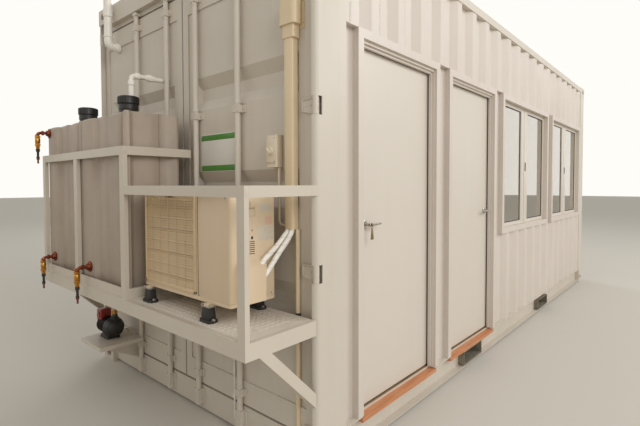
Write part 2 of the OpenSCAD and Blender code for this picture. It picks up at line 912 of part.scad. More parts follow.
// A block with sloping sides that shapes one pressed recess, its mouth at y and its lower edge at z
module recess_block(x0, x1, z, y) {
    lead = 1;
    function ring(step, at) = [
        for (c = [[0, 0], [1, 0], [1, 1], [0, 1]]) [
            c[0] == 0 ? x0 + step * recess_slope : x1 - step * recess_slope,
            at,
            c[1] == 0 ? z + step * slope_w : z + recess_h - step * slope_w
        ]
    ];
    polyhedron(
        concat(ring(-lead / panel_d, y - lead), ring(1, y + panel_d)),
        [[0, 3, 2, 1], [4, 5, 6, 7], [0, 1, 5, 4], [1, 2, 6, 5], [2, 3, 7, 6], [3, 0, 4, 7]]
    );
}

module cargo_panel(x0, x1, z0, z1) {
    inset = cargo_stile - cargo_t;
    module recesses(y) {
        for (k = [0 : recess_n - 1])
            recess_block(x0 + recess_end, x1 - recess_end, recess_z + k * recess_pitch, y);
    }
    difference() {
        union() {
            block([x0 + inset, panel_y, z0], [x1 - inset, panel_y + cargo_t, z1]);
            recesses(panel_y + cargo_t);
        }
        recesses(panel_y);
    }
}

module cargo_leaf() {
    x0 = cargo_gap / 2;
    x1 = x0 + cargo_w;
    difference() {
        block([x0, cargo_back, cargo_z], [x1, cargo_back_y, cargo_top]);
        // Open middle, and channels open to the inside
        block([x0 + cargo_stile, cargo_back - 1, cargo_z + cargo_rail],
              [x1 - cargo_stile, cargo_back_y + 1, cargo_top - cargo_rail]);
        block([x0 + cargo_t, cargo_back + cargo_t, cargo_z + cargo_t],
              [x0 + cargo_stile - cargo_t, cargo_back_y + 1, cargo_top - cargo_t]);
        block([x1 - cargo_stile + cargo_t, cargo_back + cargo_t, cargo_z + cargo_t],
              [x1 - cargo_t, cargo_back_y + 1, cargo_top - cargo_t]);
        for (z = [cargo_z, cargo_top - cargo_rail])
            block([x0 + cargo_t, cargo_back + cargo_t, z + cargo_t],
                  [x1 - cargo_t, cargo_back_y + 1, z + cargo_rail - cargo_t]);
    }
    cargo_panel(x0, x1, cargo_z + cargo_rail - cargo_t, cargo_top - cargo_rail + cargo_t);
}

module cargo_doors() {
    color("#B9AF9E") from_door_end() mirrored_x() cargo_leaf();
}

module locking_bars() {
    color("#BFB5A4") from_door_end()
        for (x = [-bar_out, -bar_in, bar_in, bar_out])
            rod_upright(x, bar_y, bar_z0, bar_z1, bar_r);
}

// A saddle round a locking bar, its back at back
module bar_guide(x, z0, z1, back) {
    lug = bar_r + guide_lug;
    saddle = bar_r + guide_t - 1;
    difference() {
        union() {
            block([x - lug, back - guide_t, z0], [x + lug, back, z1]);
            block([x - saddle, 0, z0], [x + saddle, back, z1]);
        }
        rod_upright(x, bar_y, z0 - 1, z1 + 1, bar_r + guide_gap);
    }
}

module bar_guides() {
    color("#C4BAA8") from_door_end()
        for (x = [-bar_out, -bar_in, bar_in, bar_out]) {
            // Keepers on the sill and on the header's lip
            bar_guide(x, bar_z0 + 6, low_rise + sill_h - 20, cargo_back);
            bar_guide(x, header_z + 2, bar_z1 - 2, cargo_back);
            // Saddles on the members and on the panel
            for (z = [cargo_z + guide_off, cargo_top - guide_off - guide_h])
                bar_guide(x, z, z + guide_h, cargo_back);
            for (k = [0, 2]) {
                z = recess_z + k * recess_pitch - 15 - guide_h;
                bar_guide(x, z, z + guide_h, panel_y);
            }
        }
}

module cargo_hinges() {
    root = hinge_l / 2 - 5;
    tip = 25;
    color("#B3A998") from_door_end() mirrored_x()
        for (k = [0 : hinge_n - 1])
            translate([hinge_x, 0, hinge_low + k * hinge_pitch]) {
                rod_upright(0, hinge_y, -hinge_l / 2, hinge_l / 2, hinge_r);
                translate([0, cargo_back, 0]) rotate([90, 0, 0]) linear_extrude(height = blade_t)
                    polygon([[0, -root], [0, root], [-blade_l, tip], [-blade_l, -tip]]);
            }
}

// Doors in the long wall

// A channel frame open to the back, round an opening of w by h; one foot runs down to foot
module surround(y, w, h, foot) {
    z1 = surround_top;
    open = foot < opening_top - h;
    z0 = open ? foot : z1 - h - 2 * face_w;
    mouth_z = open ? foot - 1 : z0 + face_w;
    y1 = y + w + 2 * face_w;
    difference() {
        block([surround_in, y, z0], [surround_x, y1, z1]);
        block([surround_in - 1, y + face_w, mouth_z], [surround_x + 1, y1 - face_w, z1 - face_w]);
        difference() {
            block([surround_in - 1, y + surround_t, open ? z0 - 1 : z0 + surround_t],
                  [surround_x - surround_t, y1 - surround_t, z1 - surround_t]);
            block([surround_in - 2, y + face_w - surround_t, mouth_z - (open ? 1 : surround_t)],
                  [surround_x + 1, y1 - face_w + surround_t, z1 - face_w + surround_t]);
        }
    }
}

module door_surrounds() {
    color("#CFC5B3") from_door_end()
        for (y = door_ys) surround(y, opening_w, opening_top - low_rail_top - face_w, low_rail_top);
}

// A frame of three sides, with a stop behind which the leaf closes
module door_frame(y) {
    jamb_front = surround_x - frame_front;
    stop_x = leaf_out + stop_gap;
    stop_y0 = y + leaf_y0 + stop_cover;
    stop_y1 = y + leaf_y1 - stop_cover;
    difference() {
        block([leaf_in, y + face_w, floor_top], [jamb_front, y + face_w + opening_w, opening_top]);
        block([leaf_in - 1, y + face_w + frame_step, floor_top - 1],
              [stop_x, y + face_w + opening_w - frame_step, leaf_top + leaf_gap]);
        block([stop_x - 1, stop_y0, floor_top - 1], [stop_x + stop_d, stop_y1, leaf_top - stop_cover]);
        block([stop_x + stop_d, y + face_w + frame_step, floor_top - 1],
              [jamb_front + 1, y + face_w + opening_w - frame_step, leaf_top + leaf_gap]);
    }
}

module door_frames() {
    color("#C7BDAB") from_door_end() for (y = door_ys) door_frame(y);
}

module door_leaf(y, rose_y) {
    difference() {
        block([leaf_in, y + leaf_y0, leaf_z], [leaf_out, y + leaf_y1, leaf_top]);
        rod_along_x(leaf_in - 1, leaf_out + 1, y + rose_y, lever_z, spindle_hole_r);
    }
}

module door_leaf_1() { color("#E0D6C5") from_door_end() door_leaf(door_1_y, rose_1_y); }
module door_leaf_2() { color("#E0D6C5") from_door_end() door_leaf(door_2_y, rose_2_y); }

module door_rose(y) {
    for (x = [leaf_in - rose_t, leaf_out])
        difference() {
            rod_along_x(x, x + rose_t, y, lever_z, rose_r);
            rod_along_x(x - 1, x + rose_t + 1, y, lever_z, neck_r + neck_gap);
        }
}

module door_rose_1() { color("#A9A59C") from_door_end() door_rose(door_1_y + rose_1_y); }
module door_rose_2() { color("#A9A59C") from_door_end() door_rose(door_2_y + rose_2_y); }

// Both handles of a door and the spindle between them; side is the way the grips point
module lever(y, side) {
    neck_l = grip_off + grip_r + 1;
    rod_along_x(leaf_in - neck_l, leaf_in - neck_gap, y, lever_z, neck_r);
    rod_along_x(leaf_out + neck_gap, leaf_out + neck_l, y, lever_z, neck_r);
    rod_along_x(leaf_in - neck_l / 2, leaf_out + neck_l / 2, y, lever_z, spindle_r);
    for (x = [leaf_in - grip_off, leaf_out + grip_off])
        rod_along_y(x, side > 0 ? y : y - grip_l, side > 0 ? y + grip_l : y, lever_z, grip_r);
}

module lever_1() { color("#B9B6AE") from_door_end() lever(door_1_y + rose_1_y, 1); }
module lever_2() { color("#B9B6AE") from_door_end() lever(door_2_y + rose_2_y, -1); }

module leaf_hinge(y, side, z) {
    wing = leaf_gap / 2 + frame_step;
    rod_upright(knuckle_x, y, z, z + hinge_h, knuckle_r);
    block([leaf_in - hinge_t, side > 0 ? y : y - wing, z], [leaf_in, side > 0 ? y + wing : y, z + hinge_h]);
}

module leaf_hinges() {
    pin_1 = door_1_y + leaf_y1 + leaf_gap / 2;
    pin_2 = door_2_y + leaf_y0 - leaf_gap / 2;
    color("#9B978E") from_door_end()
        for (z = [leaf_z + 180, leaf_z + leaf_h / 2 - hinge_h / 2, leaf_top - 180 - hinge_h]) {
            leaf_hinge(pin_1, 1, z);
            leaf_hinge(pin_2, -1, z);
        }
}

module thresholds() {
    color("#D98B5A") from_door_end()
        for (y = door_ys)
            block([web_x, y + face_w - thresh_over, thresh_z - thresh_t],
                  [half_w, y + face_w + opening_w + thresh_over, thresh_z]);
}

// Windows in the long wall

module window_surrounds() {
    color("#CFC5B3") from_door_end() for (y = window_ys) surround(y, window_w, window_h, opening_top);
}

module window_frame(y) {
    y0 = y + face_w - sash_lap;
    y1 = y + face_w + window_w + sash_lap;
    x0 = surround_in - sash_d;
    difference() {
        block([x0, y0, window_z - sash_lap], [surround_in, y1, opening_top + sash_lap]);
        for (k = [0, 1]) {
            light_y = y + face_w + sash_w + k * (light_w + stile_w);
            block([x0 - 1, light_y, window_z + sash_w],
                  [surround_in + 1, light_y + light_w, opening_top - sash_w]);
        }
    }
}

module window_frames() {
    color("#E3DCCD") from_door_end() for (y = window_ys) window_frame(y);
}

module window_glass() {
    glass_x = surround_in - glass_back;
    color("#3B4448", 0.6) from_door_end()
        for (y = window_ys, k = [0, 1]) {
            light_y = y + face_w + sash_w + k * (light_w + stile_w);
            block([glass_x - glass_t, light_y, window_z + sash_w],
                  [glass_x, light_y + light_w, opening_top - sash_w]);
        }
}

// Platform on the cargo door end

module platform_frame() {
    color("#BDB39F") from_door_end() {
        plate_z = deck_z - plate_t;
        difference() {
            block([-half_w, deck_front, frame_z], [half_w, 0, deck_z]);
            // Seat of the tread plate, open middle, and channels open to the inside
            block([rim_w - half_w, deck_front + rim_w, plate_z], [half_w - rim_w, 1, deck_z + 1]);
            block([channel_w - half_w, deck_front + channel_w, frame_z - 1],
                  [half_w - channel_w, -channel_w, deck_z + 1]);
            block([channel_t - half_w, deck_front + channel_t, frame_z + channel_t],
                  [half_w - channel_t, -channel_t, plate_z - channel_t]);
        }
        for (x = [-half_w / 2, 0, half_w / 2])
            tube([x - tube_d / 2, deck_front + channel_t, frame_z + channel_t],
                 [x + tube_d / 2, -channel_t, plate_z - channel_t], 1);
    }
}

module platform_braces() {
    function brace_line(w) = [
        [0, brace_z],
        [0, brace_z + w],
        [w - brace_reach, frame_z],
        [-brace_reach, frame_z]
    ];
    color("#B6AC99") from_door_end() mirrored_x() {
        translate([half_w - channel_t, 0, 0]) rotate([90, 0, 90])
            linear_extrude(height = channel_t) polygon(brace_line(brace_w));
        translate([half_w - tube_s, 0, 0]) rotate([90, 0, 90])
            linear_extrude(height = tube_s) polygon(brace_line(2 * channel_t));
    }
}

module tread_plate() {
    color("#C9BFAE") from_door_end()
        block([rim_w - half_w, deck_front + rim_w, deck_z - plate_t], [half_w - rim_w, 0, deck_z]);
}

module guard_rail() {
    rail_z = guard_z - tube_s;
    color("#C8BEAC") from_door_end() {
        tube([half_w - tube_s, deck_front, deck_z], [half_w, rail_y, rail_z], 2);
        tube([post_a_x + tube_s, deck_front, rail_z], [half_w, rail_y, guard_z], 0);
        coped_to_posts() tube([half_w - tube_d, rail_y, rail_z], [half_w, post_r, guard_z], 1);
    }
}

module tank_frame() {
    rail_z = tank_rail_z - tube_s;
    posts = [-half_w, post_mid_x, post_a_x];
    end_x = post_a_x + tube_s;
    kick_y = deck_front + kick_back;
    color("#C8BEAC") from_door_end() {
        for (x = posts) tube([x, deck_front, deck_z], [x + tube_s, rail_y, rail_z], 2);
        tube([-half_w, deck_front, rail_z], [end_x, rail_y, tank_rail_z], 0);
        coped_to_posts() tube([-half_w, rail_y, rail_z], [tube_d - half_w, post_r, tank_rail_z], 1);
        tube([end_x - tube_d, rail_y, rail_z], [end_x, 0, tank_rail_z], 1);
        // Kick plates
        for (k = [0, 1])
            block([posts[k] + tube_s, kick_y, deck_z], [posts[k + 1], kick_y + kick_t, deck_z + kick_h]);
        tube([end_x - tube_d, rail_y, deck_z], [end_x, 0, deck_z + kick_h], 1);
    }
}

// A tank's body drawn in by inset, with its upright grooves
module tank_body(x, inset) {
    module layer(off, top) {
        soft_box([x + off, tank_front + off, deck_z + inset],
                 [x + tank_w - off, tank_front + tank_d - off, top - inset], tank_r - off);
    }
    difference() {
        union() {
            layer(inset, tank_top - tank_rim);
            layer(inset + tank_rim, tank_top);
        }
        for (s = front_grooves)
            rod_upright(x + s * tank_w, tank_front + groove_d - groove_r, deck_z - 1, tank_top + 1,
                        groove_r + inset);
        for (s = side_grooves, side = [0, 1])
            rod_upright(x + side * tank_w + (1 - 2 * side) * (groove_d - groove_r),
                        tank_front + s * tank_d, deck_z - 1, tank_top + 1, groove_r + inset);
    }
}

module water_tank(x) {
    neck_x = x + tank_w / 2;
    difference() {
        union() {
            tank_body(x, 0);
            rod_upright(neck_x, tank_mid_y, tank_top, tank_top + cap_h - 20, neck_pipe_r);
        }
        tank_body(x, tank_t);
        rod_upright(neck_x, tank_mid_y, tank_top - tank_t - 1, tank_top + cap_h, neck_pipe_r - tank_t);
    }
}

module water_tanks() {
    color("#9A8E7C") from_door_end() for (x = tank_xs) water_tank(x);
}

module tank_caps() {
    color("#2B2926") from_door_end()
        for (x = tank_xs)
            translate([x + tank_w / 2, tank_mid_y, tank_top])
                difference() {
                    union() {
                        cylinder(r = cap_r - 4, h = cap_h - lid_h);
                        translate([0, 0, cap_h - lid_h]) cylinder(r = cap_r, h = lid_h);
                    }
                    translate([0, 0, -1]) cylinder(r = neck_pipe_r, h = cap_h - lid_t);
                }
}

// A valve hanging from an elbow in front of a tank's gland
module valve(x, z) {
    rod_along_y(x, tank_front - gland_t, tank_front, z, gland_r);
    translate([x, valve_y, z]) bent_rod(tank_front - valve_y, -body_drop[0], stub_r, stub_bend);
    rod_upright(x, valve_y, z - body_drop[1], z - body_drop[0], valve_r);
    rod_upright(x, valve_y, z - hose_drop, z - body_drop[1], hose_r);
    rod_upright(x, valve_y, z - valve_l, z - hose_drop, tip_r);
}

module tank_valves() {
    color("#B8863A") from_door_end() {
        for (x = tank_xs) valve(x + low_valve[0], deck_z + low_valve[1]);
        valve(tank_xs[0] + high_valve[0], deck_z + high_valve[1]);
    }
}

module overflow_pipe() {
    color("#EDE3D4") from_door_end() translate([overflow_x, tank_mid_y, overflow_z])
        bent_pipe(panel_y - tank_mid_y, tank_top + cap_h - overflow_z, pipe_r);
}

module vent_pipe() {
    color("#EDE3D4") from_door_end() {
        translate([vent_x, vent_y, vent_z]) bent_pipe(panel_y - vent_y, vent_top - vent_z, vent_r);
        rod_upright(vent_x, vent_y, vent_top - 50, vent_top + 6, vent_r + 12);
    }
}

// Outdoor unit

module ac_case() {
    color("#D2BF9B") from_door_end() {
        difference() {
            soft_box([unit_x, case_front, unit_z], [unit_x1, unit_back, unit_top], unit_r);
            soft_box([unit_x + case_t, case_front + case_t, unit_z + case_t],
                     [unit_x1 - case_t, unit_back - case_t, unit_top - case_t], unit_r - case_t);
            rod_along_y(unit_x + grille_edge + grille_w / 2, case_front - 1, case_front + case_t + 1,
                        unit_z + unit_h / 2, fan_r);
        }
        // Legs on the rubber feet
        for (x = foot_xs)
            block([x - 20, foot_ys[0] - 14, unit_z - leg_h], [x + 20, foot_ys[1] + 14, unit_z]);
    }
}

module ac_grille() {
    lo = [unit_x + grille_edge, unit_front, unit_z + grille_edge];
    hi = [unit_x + grille_edge + grille_w, case_front, unit_top - grille_edge];
    rim = [grille_rim, -1, grille_rim];
    step = (hi[2] - lo[2] - grille_rim) / slat_n;
    color("#C0AB86") from_door_end() {
        difference() {
            soft_plate(lo, hi, 2 * grille_rim);
            soft_plate(lo + rim, hi - rim, grille_rim);
        }
        // Slats, every fourth one proud
        for (k = [1 : slat_n - 1]) {
            z = lo[2] + grille_rim / 2 + k * step;
            front = unit_front + (k % 4 == 0 ? 1 : 4);
            block([lo[0] + grille_rim - 1, front, z - slat_h / 2],
                  [hi[0] - grille_rim + 1, case_front, z + slat_h / 2]);
        }
    }
}

module ac_valve_cover() {
    w = valve_cover_w;
    h = valve_cover_h;
    slant = 30;
    color("#D8C8A8") from_door_end() intersection() {
        soft_box([unit_x1, valve_cover_y0 + unit_r, valve_cover_z],
                 [unit_x1 + w, valve_cover_y1, valve_cover_z + h], duct_r);
        translate([unit_x1, 0, valve_cover_z]) rotate([90, 0, 0])
            linear_extrude(height = -2 * unit_front, center = true)
                polygon([[0, 0], [w, 0], [w, h - slant], [0, h]]);
    }
}

// Two insulated pipes from the back of the valve cover into the lower end of the duct
module insulated_pipes() {
    inside = duct_z0 + 30;
    exit_y = valve_cover_y1 - sleeve_r;
    exit_z = valve_cover_z + valve_cover_h - 40;
    color("#E6DDCD") from_door_end()
        for (k = [0, 1]) {
            bend = [sleeve_xs[k], sleeve_y, duct_z0 - 2 * sleeve_r];
            from = [unit_x1 + sleeve_r + 3 + k * 14, exit_y, exit_z - k * 45];
            difference() {
                rod_between(from, bend, sleeve_r);
                block([unit_x, 2 * unit_front, deck_z], [half_w, valve_cover_y1, duct_z0]);
            }
            translate(bend) sphere(r = sleeve_r + 1);
            rod_upright(bend[0], bend[1], bend[2], inside, sleeve_r);
        }
}

module ac_feet() {
    flange_h = 14;
    color("#1E1C1A") from_door_end()
        for (x = foot_xs, y = foot_ys) {
            block([x - 50, y - 28, deck_z], [x + 50, y + 28, deck_z + flange_h]);
            block([x - 30, y - 22, deck_z + flange_h], [x + 30, y + 22, unit_z - leg_h]);
        }
}

module line_cover() {
    collar_z = duct_z1 + collar_h;
    front = panel_y - duct_d;
    color("#C0A985") from_door_end() {
        difference() {
            soft_box([duct_x, front, duct_z0], [duct_x1, panel_y, duct_z1], duct_r);
            soft_box([duct_x + duct_t, front + duct_t, duct_z0 - 1],
                     [duct_x1 - duct_t, panel_y - duct_t, duct_z1 - duct_t], duct_r - duct_t);
        }
        // Collar and wall cap, with a flange on the door
        soft_box([duct_x - collar_w, front - 4, duct_z1], [duct_x1 + collar_w, panel_y, collar_z], duct_r);
        soft_box([duct_x - duct_cap_w, front - 14, collar_z],
                 [duct_x1 + duct_cap_w, panel_y, collar_z + duct_cap_h], 2 * duct_r);
        block([duct_x - duct_cap_w, panel_y - duct_t, collar_z - 15],
              [duct_x1 + duct_cap_w + 14, panel_y, collar_z + duct_cap_h + 10]);
    }
}

module isolator() {
    front = panel_y - isolator_d;
    conduit_x = isolator_x + isolator_w - conduit_r - 4;
    conduit_y = panel_y - 2 * conduit_r;
    conduit_z = duct_z0 + 14;
    color("#CFC2AB") from_door_end() {
        soft_box([isolator_x, front, isolator_z],
                 [isolator_x + isolator_w, panel_y, isolator_z + isolator_h], conduit_r);
        rod_along_y(isolator_x + isolator_w / 2, front - 20, front, isolator_z + isolator_h / 2, 20);
        // Conduit down and across to the duct
        translate([conduit_x, conduit_y, conduit_z]) rotate([0, 0, -90])
            bent_rod(duct_x - conduit_x, isolator_z - conduit_z, conduit_r, 3 * conduit_r);
    }
}

module drain_pipe() {
    color("#D8CBB4") from_door_end() {
        rod_upright(drain_x, drain_y, drain_z, duct_z0, drain_r);
        for (z = [drain_z + 60, (drain_z + duct_z0) / 2])
            block([drain_x - 4, drain_y, z], [drain_x + 4, panel_y, z + clip_h]);
    }
}

module pump_shelf() {
    under = shelf_z - shelf_t;
    color("#A2937C") from_door_end() {
        difference() {
            block([shelf_x, -shelf_d, shelf_z - shelf_edge], [shelf_x + shelf_w, 0, shelf_z]);
            block([shelf_x + shelf_t, shelf_t - shelf_d, shelf_z - shelf_edge - 1],
                  [shelf_x + shelf_w - shelf_t, 1, under]);
        }
        for (x = gusset_xs)
            translate([x, 0, 0]) rotate([90, 0, 90]) linear_extrude(height = shelf_t)
                polygon([[cargo_back, shelf_z - gusset_h], [cargo_back, under], [shelf_t - shelf_d, under],
                         [shelf_t - shelf_d, shelf_z - shelf_edge]]);
    }
}

module pump() {
    color("#2A2826") from_door_end() {
        rod_along_x(pump_x - 110, pump_x + 40, pump_y, pump_z, 62);
        rod_along_x(pump_x + 40, pump_x + 110, pump_y, pump_z, 74);
        block([pump_x - 80, pump_y - 50, shelf_z], [pump_x + 60, pump_y + 50, shelf_z + 40]);
        rod_upright(pump_x + 76, pump_y, pump_z, pump_z + 100, 18);
    }
}

bottom_side_rails();
cross_members();
fork_pockets();
end_sills();
corner_castings();
corner_posts();
top_side_rails();
end_headers();
roof();
right_wall_piers();
right_wall_heads();
right_wall_window_bay();
left_wall();
far_wall();
floor();
wall_linings();
ceiling();
cargo_doors();
locking_bars();
cargo_hinges();
bar_guides();
door_surrounds();
door_frames();
door_leaf_1();
door_leaf_2();
door_rose_1();
door_rose_2();
lever_1();
lever_2();
leaf_hinges();
thresholds();
window_surrounds();
window_frames();
window_glass();
platform_frame();
tread_plate();
guard_rail();
tank_frame();
platform_braces();
water_tanks();
tank_caps();
tank_valves();
overflow_pipe();
vent_pipe();
ac_case();
ac_grille();
ac_valve_cover();
insulated_pipes();
ac_feet();
line_cover();
isolator();
drain_pipe();
pump_shelf();
pump();
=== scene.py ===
"""Looks of a shipping container cabin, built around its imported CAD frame.

The frame is in metres: +Y runs from the door end to the far end, +X towards the side
with the two doors, and z = 0 is the ground. The pieces' sizes are written in
millimetres, with Y counted from the door end's plane, and spot() turns them over.
"""

from __future__ import annotations

import json
import logging
import math
from contextlib import contextmanager
from dataclasses import dataclass
from enum import Enum
from typing import Callable, Iterator, Sequence

import bmesh
import bpy
from mathutils import Matrix, Vector

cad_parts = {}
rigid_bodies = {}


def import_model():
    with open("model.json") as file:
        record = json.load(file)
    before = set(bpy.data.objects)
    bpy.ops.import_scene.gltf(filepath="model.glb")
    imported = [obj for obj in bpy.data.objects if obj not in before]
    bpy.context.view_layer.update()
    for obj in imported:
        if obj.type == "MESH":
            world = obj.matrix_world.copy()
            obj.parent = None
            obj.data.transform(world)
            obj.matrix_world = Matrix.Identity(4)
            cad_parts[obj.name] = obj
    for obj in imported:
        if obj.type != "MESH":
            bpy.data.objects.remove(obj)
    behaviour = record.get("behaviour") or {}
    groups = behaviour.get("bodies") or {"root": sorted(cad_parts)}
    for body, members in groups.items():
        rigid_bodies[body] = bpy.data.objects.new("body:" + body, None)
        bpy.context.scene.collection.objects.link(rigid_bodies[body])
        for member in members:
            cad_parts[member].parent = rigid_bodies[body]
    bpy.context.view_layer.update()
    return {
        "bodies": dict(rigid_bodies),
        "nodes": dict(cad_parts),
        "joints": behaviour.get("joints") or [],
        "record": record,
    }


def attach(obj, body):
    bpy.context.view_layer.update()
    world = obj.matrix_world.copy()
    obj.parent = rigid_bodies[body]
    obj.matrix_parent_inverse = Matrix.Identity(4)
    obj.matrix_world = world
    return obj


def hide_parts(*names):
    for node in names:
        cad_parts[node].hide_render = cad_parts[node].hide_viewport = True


log = logging.getLogger("cabin")

Piece = bpy.types.Object
Socket = bpy.types.NodeSocket
Point = tuple[float, float, float]
Spot = Sequence[float]

MM = 0.001
CLOSE = 0.5 * MM
PHOTO_WIDE = 640
CABIN = "container"
DOOR_END_Y = -2779.0
PANEL_FACE = 44.0
DECK_Z = 802.0
UP, DOWN, FRONT, BACK, OUT, IN = (
    (0, 0, 1), (0, 0, -1), (0, -1, 0), (0, 1, 0), (1, 0, 0), (-1, 0, 0))


def spot(x: float, y: float, z: float) -> Vector:
    """Turns millimetres from the door end to metres in the frame."""
    return Vector((x, y + DOOR_END_Y, z)) * MM


def linear(colour: str, alpha: float = 1.0) -> tuple[float, float, float, float]:
    """Turns an sRGB hex colour to linear light.

    Args:
        colour: The colour as "#RRGGBB".
        alpha: Its fourth value.

    Returns:
        Linear red, green, blue and alpha.
    """
    parts = [int(colour[place:place + 2], 16) / 255 for place in (1, 3, 5)]
    red, green, blue = [
        part / 12.92 if part <= 0.04045 else ((part + 0.055) / 1.055) ** 2.4 for part in parts]
    return red, green, blue, alpha


def add_node(
    tree: bpy.types.NodeTree, kind: str, settings: dict[str | int, object] | None = None,
    links: dict[str | int, Socket] | None = None,
) -> bpy.types.Node:
    """Adds a shader node with its settings and links.

    Args:
        tree: The material's node tree.
        kind: The node's type without its "ShaderNode" start.
        settings: Values by property name, input name or input number.
        links: Output sockets by the name or number of the input they feed.

    Returns:
        The new node.
    """
    node = tree.nodes.new("ShaderNode" + kind)
    for key, value in (settings or {}).items():
        if isinstance(key, str) and hasattr(node, key):
            setattr(node, key, value)
        else:
            node.inputs[key].default_value = value
    for key, source in (links or {}).items():
        tree.links.new(source, node.inputs[key])
    return node


class Bench:
    """One material under work: its node tree, its shader and the piece's coordinates."""

    def __init__(self, finish: Finish) -> None:
        """Starts the material.

        Args:
            finish: The finish whose name, colour and roughness it takes.
        """
        self.material = bpy.data.materials.new(finish.name)
        self.material.use_nodes = True
        self.material.diffuse_color = linear(finish.colour)
        self.tree = self.material.node_tree
        self.shader = self.tree.nodes["Principled BSDF"]
        self.shader.inputs["Base Color"].default_value = linear(finish.colour)
        self.shader.inputs["Roughness"].default_value = finish.roughness
        self.place = add_node(self.tree, "TexCoord").outputs["Object"]

    def cloud(
        self, grain_mm: float, detail: float = 3.0, stretch: Point = (1.0, 1.0, 1.0)
    ) -> Socket:
        """Adds a cloud pattern of a real size.

        Args:
            grain_mm: How far apart its blotches stand, in millimetres.
            detail: How many finer layers it has.
            stretch: How much longer the blotches are along each axis.

        Returns:
            Its value, from 0 to 1.
        """
        shrink = tuple(1 / each for each in stretch)
        spread = add_node(self.tree, "Mapping", {"Scale": shrink}, {"Vector": self.place})
        return add_node(
            self.tree, "TexNoise",
            {"Scale": 1000 / grain_mm, "Detail": detail, "Roughness": 0.55},
            {"Vector": spread.outputs[0]}).outputs[0]

    def ramp(
        self, value: Socket, low: float, high: float, start: float = 0.0, end: float = 1.0
    ) -> Socket:
        """Stretches a value's range from low..high to start..end, held at both ends."""
        return add_node(
            self.tree, "MapRange", {1: low, 2: high, 3: start, 4: end}, {0: value}).outputs[0]

    def combine(self, operation: str, first: Socket, second: Socket) -> Socket:
        """Joins two values by a Math node's operation."""
        return add_node(
            self.tree, "Math", {"operation": operation}, {0: first, 1: second}).outputs[0]

    def blend(self, share: Socket, first: Socket | str, second: Socket | str) -> Socket:
        """Mixes two colours by a share.

        Args:
            share: How much of the second colour shows.
            first: A colour, as a socket or a hex value.
            second: The other colour.

        Returns:
            The mixed colour.
        """
        settings: dict[str | int, object] = {"data_type": "RGBA"}
        links: dict[str | int, Socket] = {0: share}
        for number, colour in ((6, first), (7, second)):
            if isinstance(colour, str):
                settings[number] = linear(colour)
            else:
                links[number] = colour
        return add_node(self.tree, "Mix", settings, links).outputs[2]

    def tint(self, share: Socket, first: Socket | str, second: Socket | str) -> None:
        """Colours the surface by a blend of two colours."""
        self.tree.links.new(self.blend(share, first, second), self.shader.inputs["Base Color"])

    def gloss(self, value: Socket, low: float, high: float, start: float, end: float) -> None:
        """Varies the surface's roughness from start to end by a pattern."""
        self.tree.links.new(
            self.ramp(value, low, high, start, end), self.shader.inputs["Roughness"])

    def bump(self, height: Socket, depth_mm: float, strength: float) -> None:
        """Roughens the surface by a height pattern of a real depth."""
        node = add_node(self.tree, "Bump", {"Distance": depth_mm * MM, "Strength": strength},
                        {"Height": height})
        self.tree.links.new(node.outputs[0], self.shader.inputs["Normal"])


@dataclass(frozen=True)
class Finish:
    """What all finishes share: a name, a colour and a roughness."""

    name: str
    colour: str
    roughness: float

    def make(self) -> bpy.types.Material:
        """Builds the material; each kind of finish has its own."""
        raise NotImplementedError


@dataclass(frozen=True)
class SprayedEnamel(Finish):
    """Semi-gloss enamel sprayed on steel: soft sheen, faint orange peel, dusty runs."""

    dust: str = "#A2967F"
    cloudiness: float = 0.16
    runs: float = 0.12
    splash_top: float = 0.30
    splash: float = 0.12
    peel_mm: float = 16.0

    def make(self) -> bpy.types.Material:
        """Builds the paint with its mottling, dusty runs and splashes near the ground.

        Returns:
            The material.
        """
        bench = Bench(self)
        broad = bench.cloud(700, 4.0)
        runs = bench.cloud(60, 4.0, (1.0, 1.0, 16.0))
        specks = bench.cloud(40, 6.0)
        height = add_node(bench.tree, "SeparateXYZ", links={0: bench.place}).outputs["Z"]
        splash = bench.combine(
            "MULTIPLY", bench.ramp(height, 0.02, self.splash_top, self.splash, 0.0),
            bench.ramp(specks, 0.35, 0.7))
        run_share = bench.ramp(runs, 0.52, 0.85, 0.0, self.runs)
        tone = bench.blend(
            bench.ramp(broad, 0.3, 0.75, 0.0, self.cloudiness), self.colour, self.dust)
        bench.tint(bench.combine("MAXIMUM", splash, run_share), tone, self.dust)
        bench.gloss(broad, 0.2, 0.8, self.roughness - 0.07, self.roughness + 0.1)
        bench.bump(bench.cloud(self.peel_mm, 2.0), 0.3, 0.5)
        return bench.material


@dataclass(frozen=True)
class MouldedPlastic(Finish):
    """Plastic from a mould: an even colour, a fine grain and a soft highlight."""

    shade: str = "#808080"
    grain_mm: float = 3.0
    grain_depth_mm: float = 0.12
    mottle_mm: float = 260.0

    def make(self) -> bpy.types.Material:
        """Builds the plastic with its faint mottling and moulded grain.

        Returns:
            The material.
        """
        bench = Bench(self)
        mottle = bench.cloud(self.mottle_mm, 4.0)
        bench.tint(bench.ramp(mottle, 0.35, 0.75, 0.0, 0.5), self.colour, self.shade)
        bench.gloss(mottle, 0.2, 0.8, self.roughness - 0.05, self.roughness + 0.08)
        bench.bump(bench.cloud(self.grain_mm, 2.0), self.grain_depth_mm, 0.5)
        return bench.material


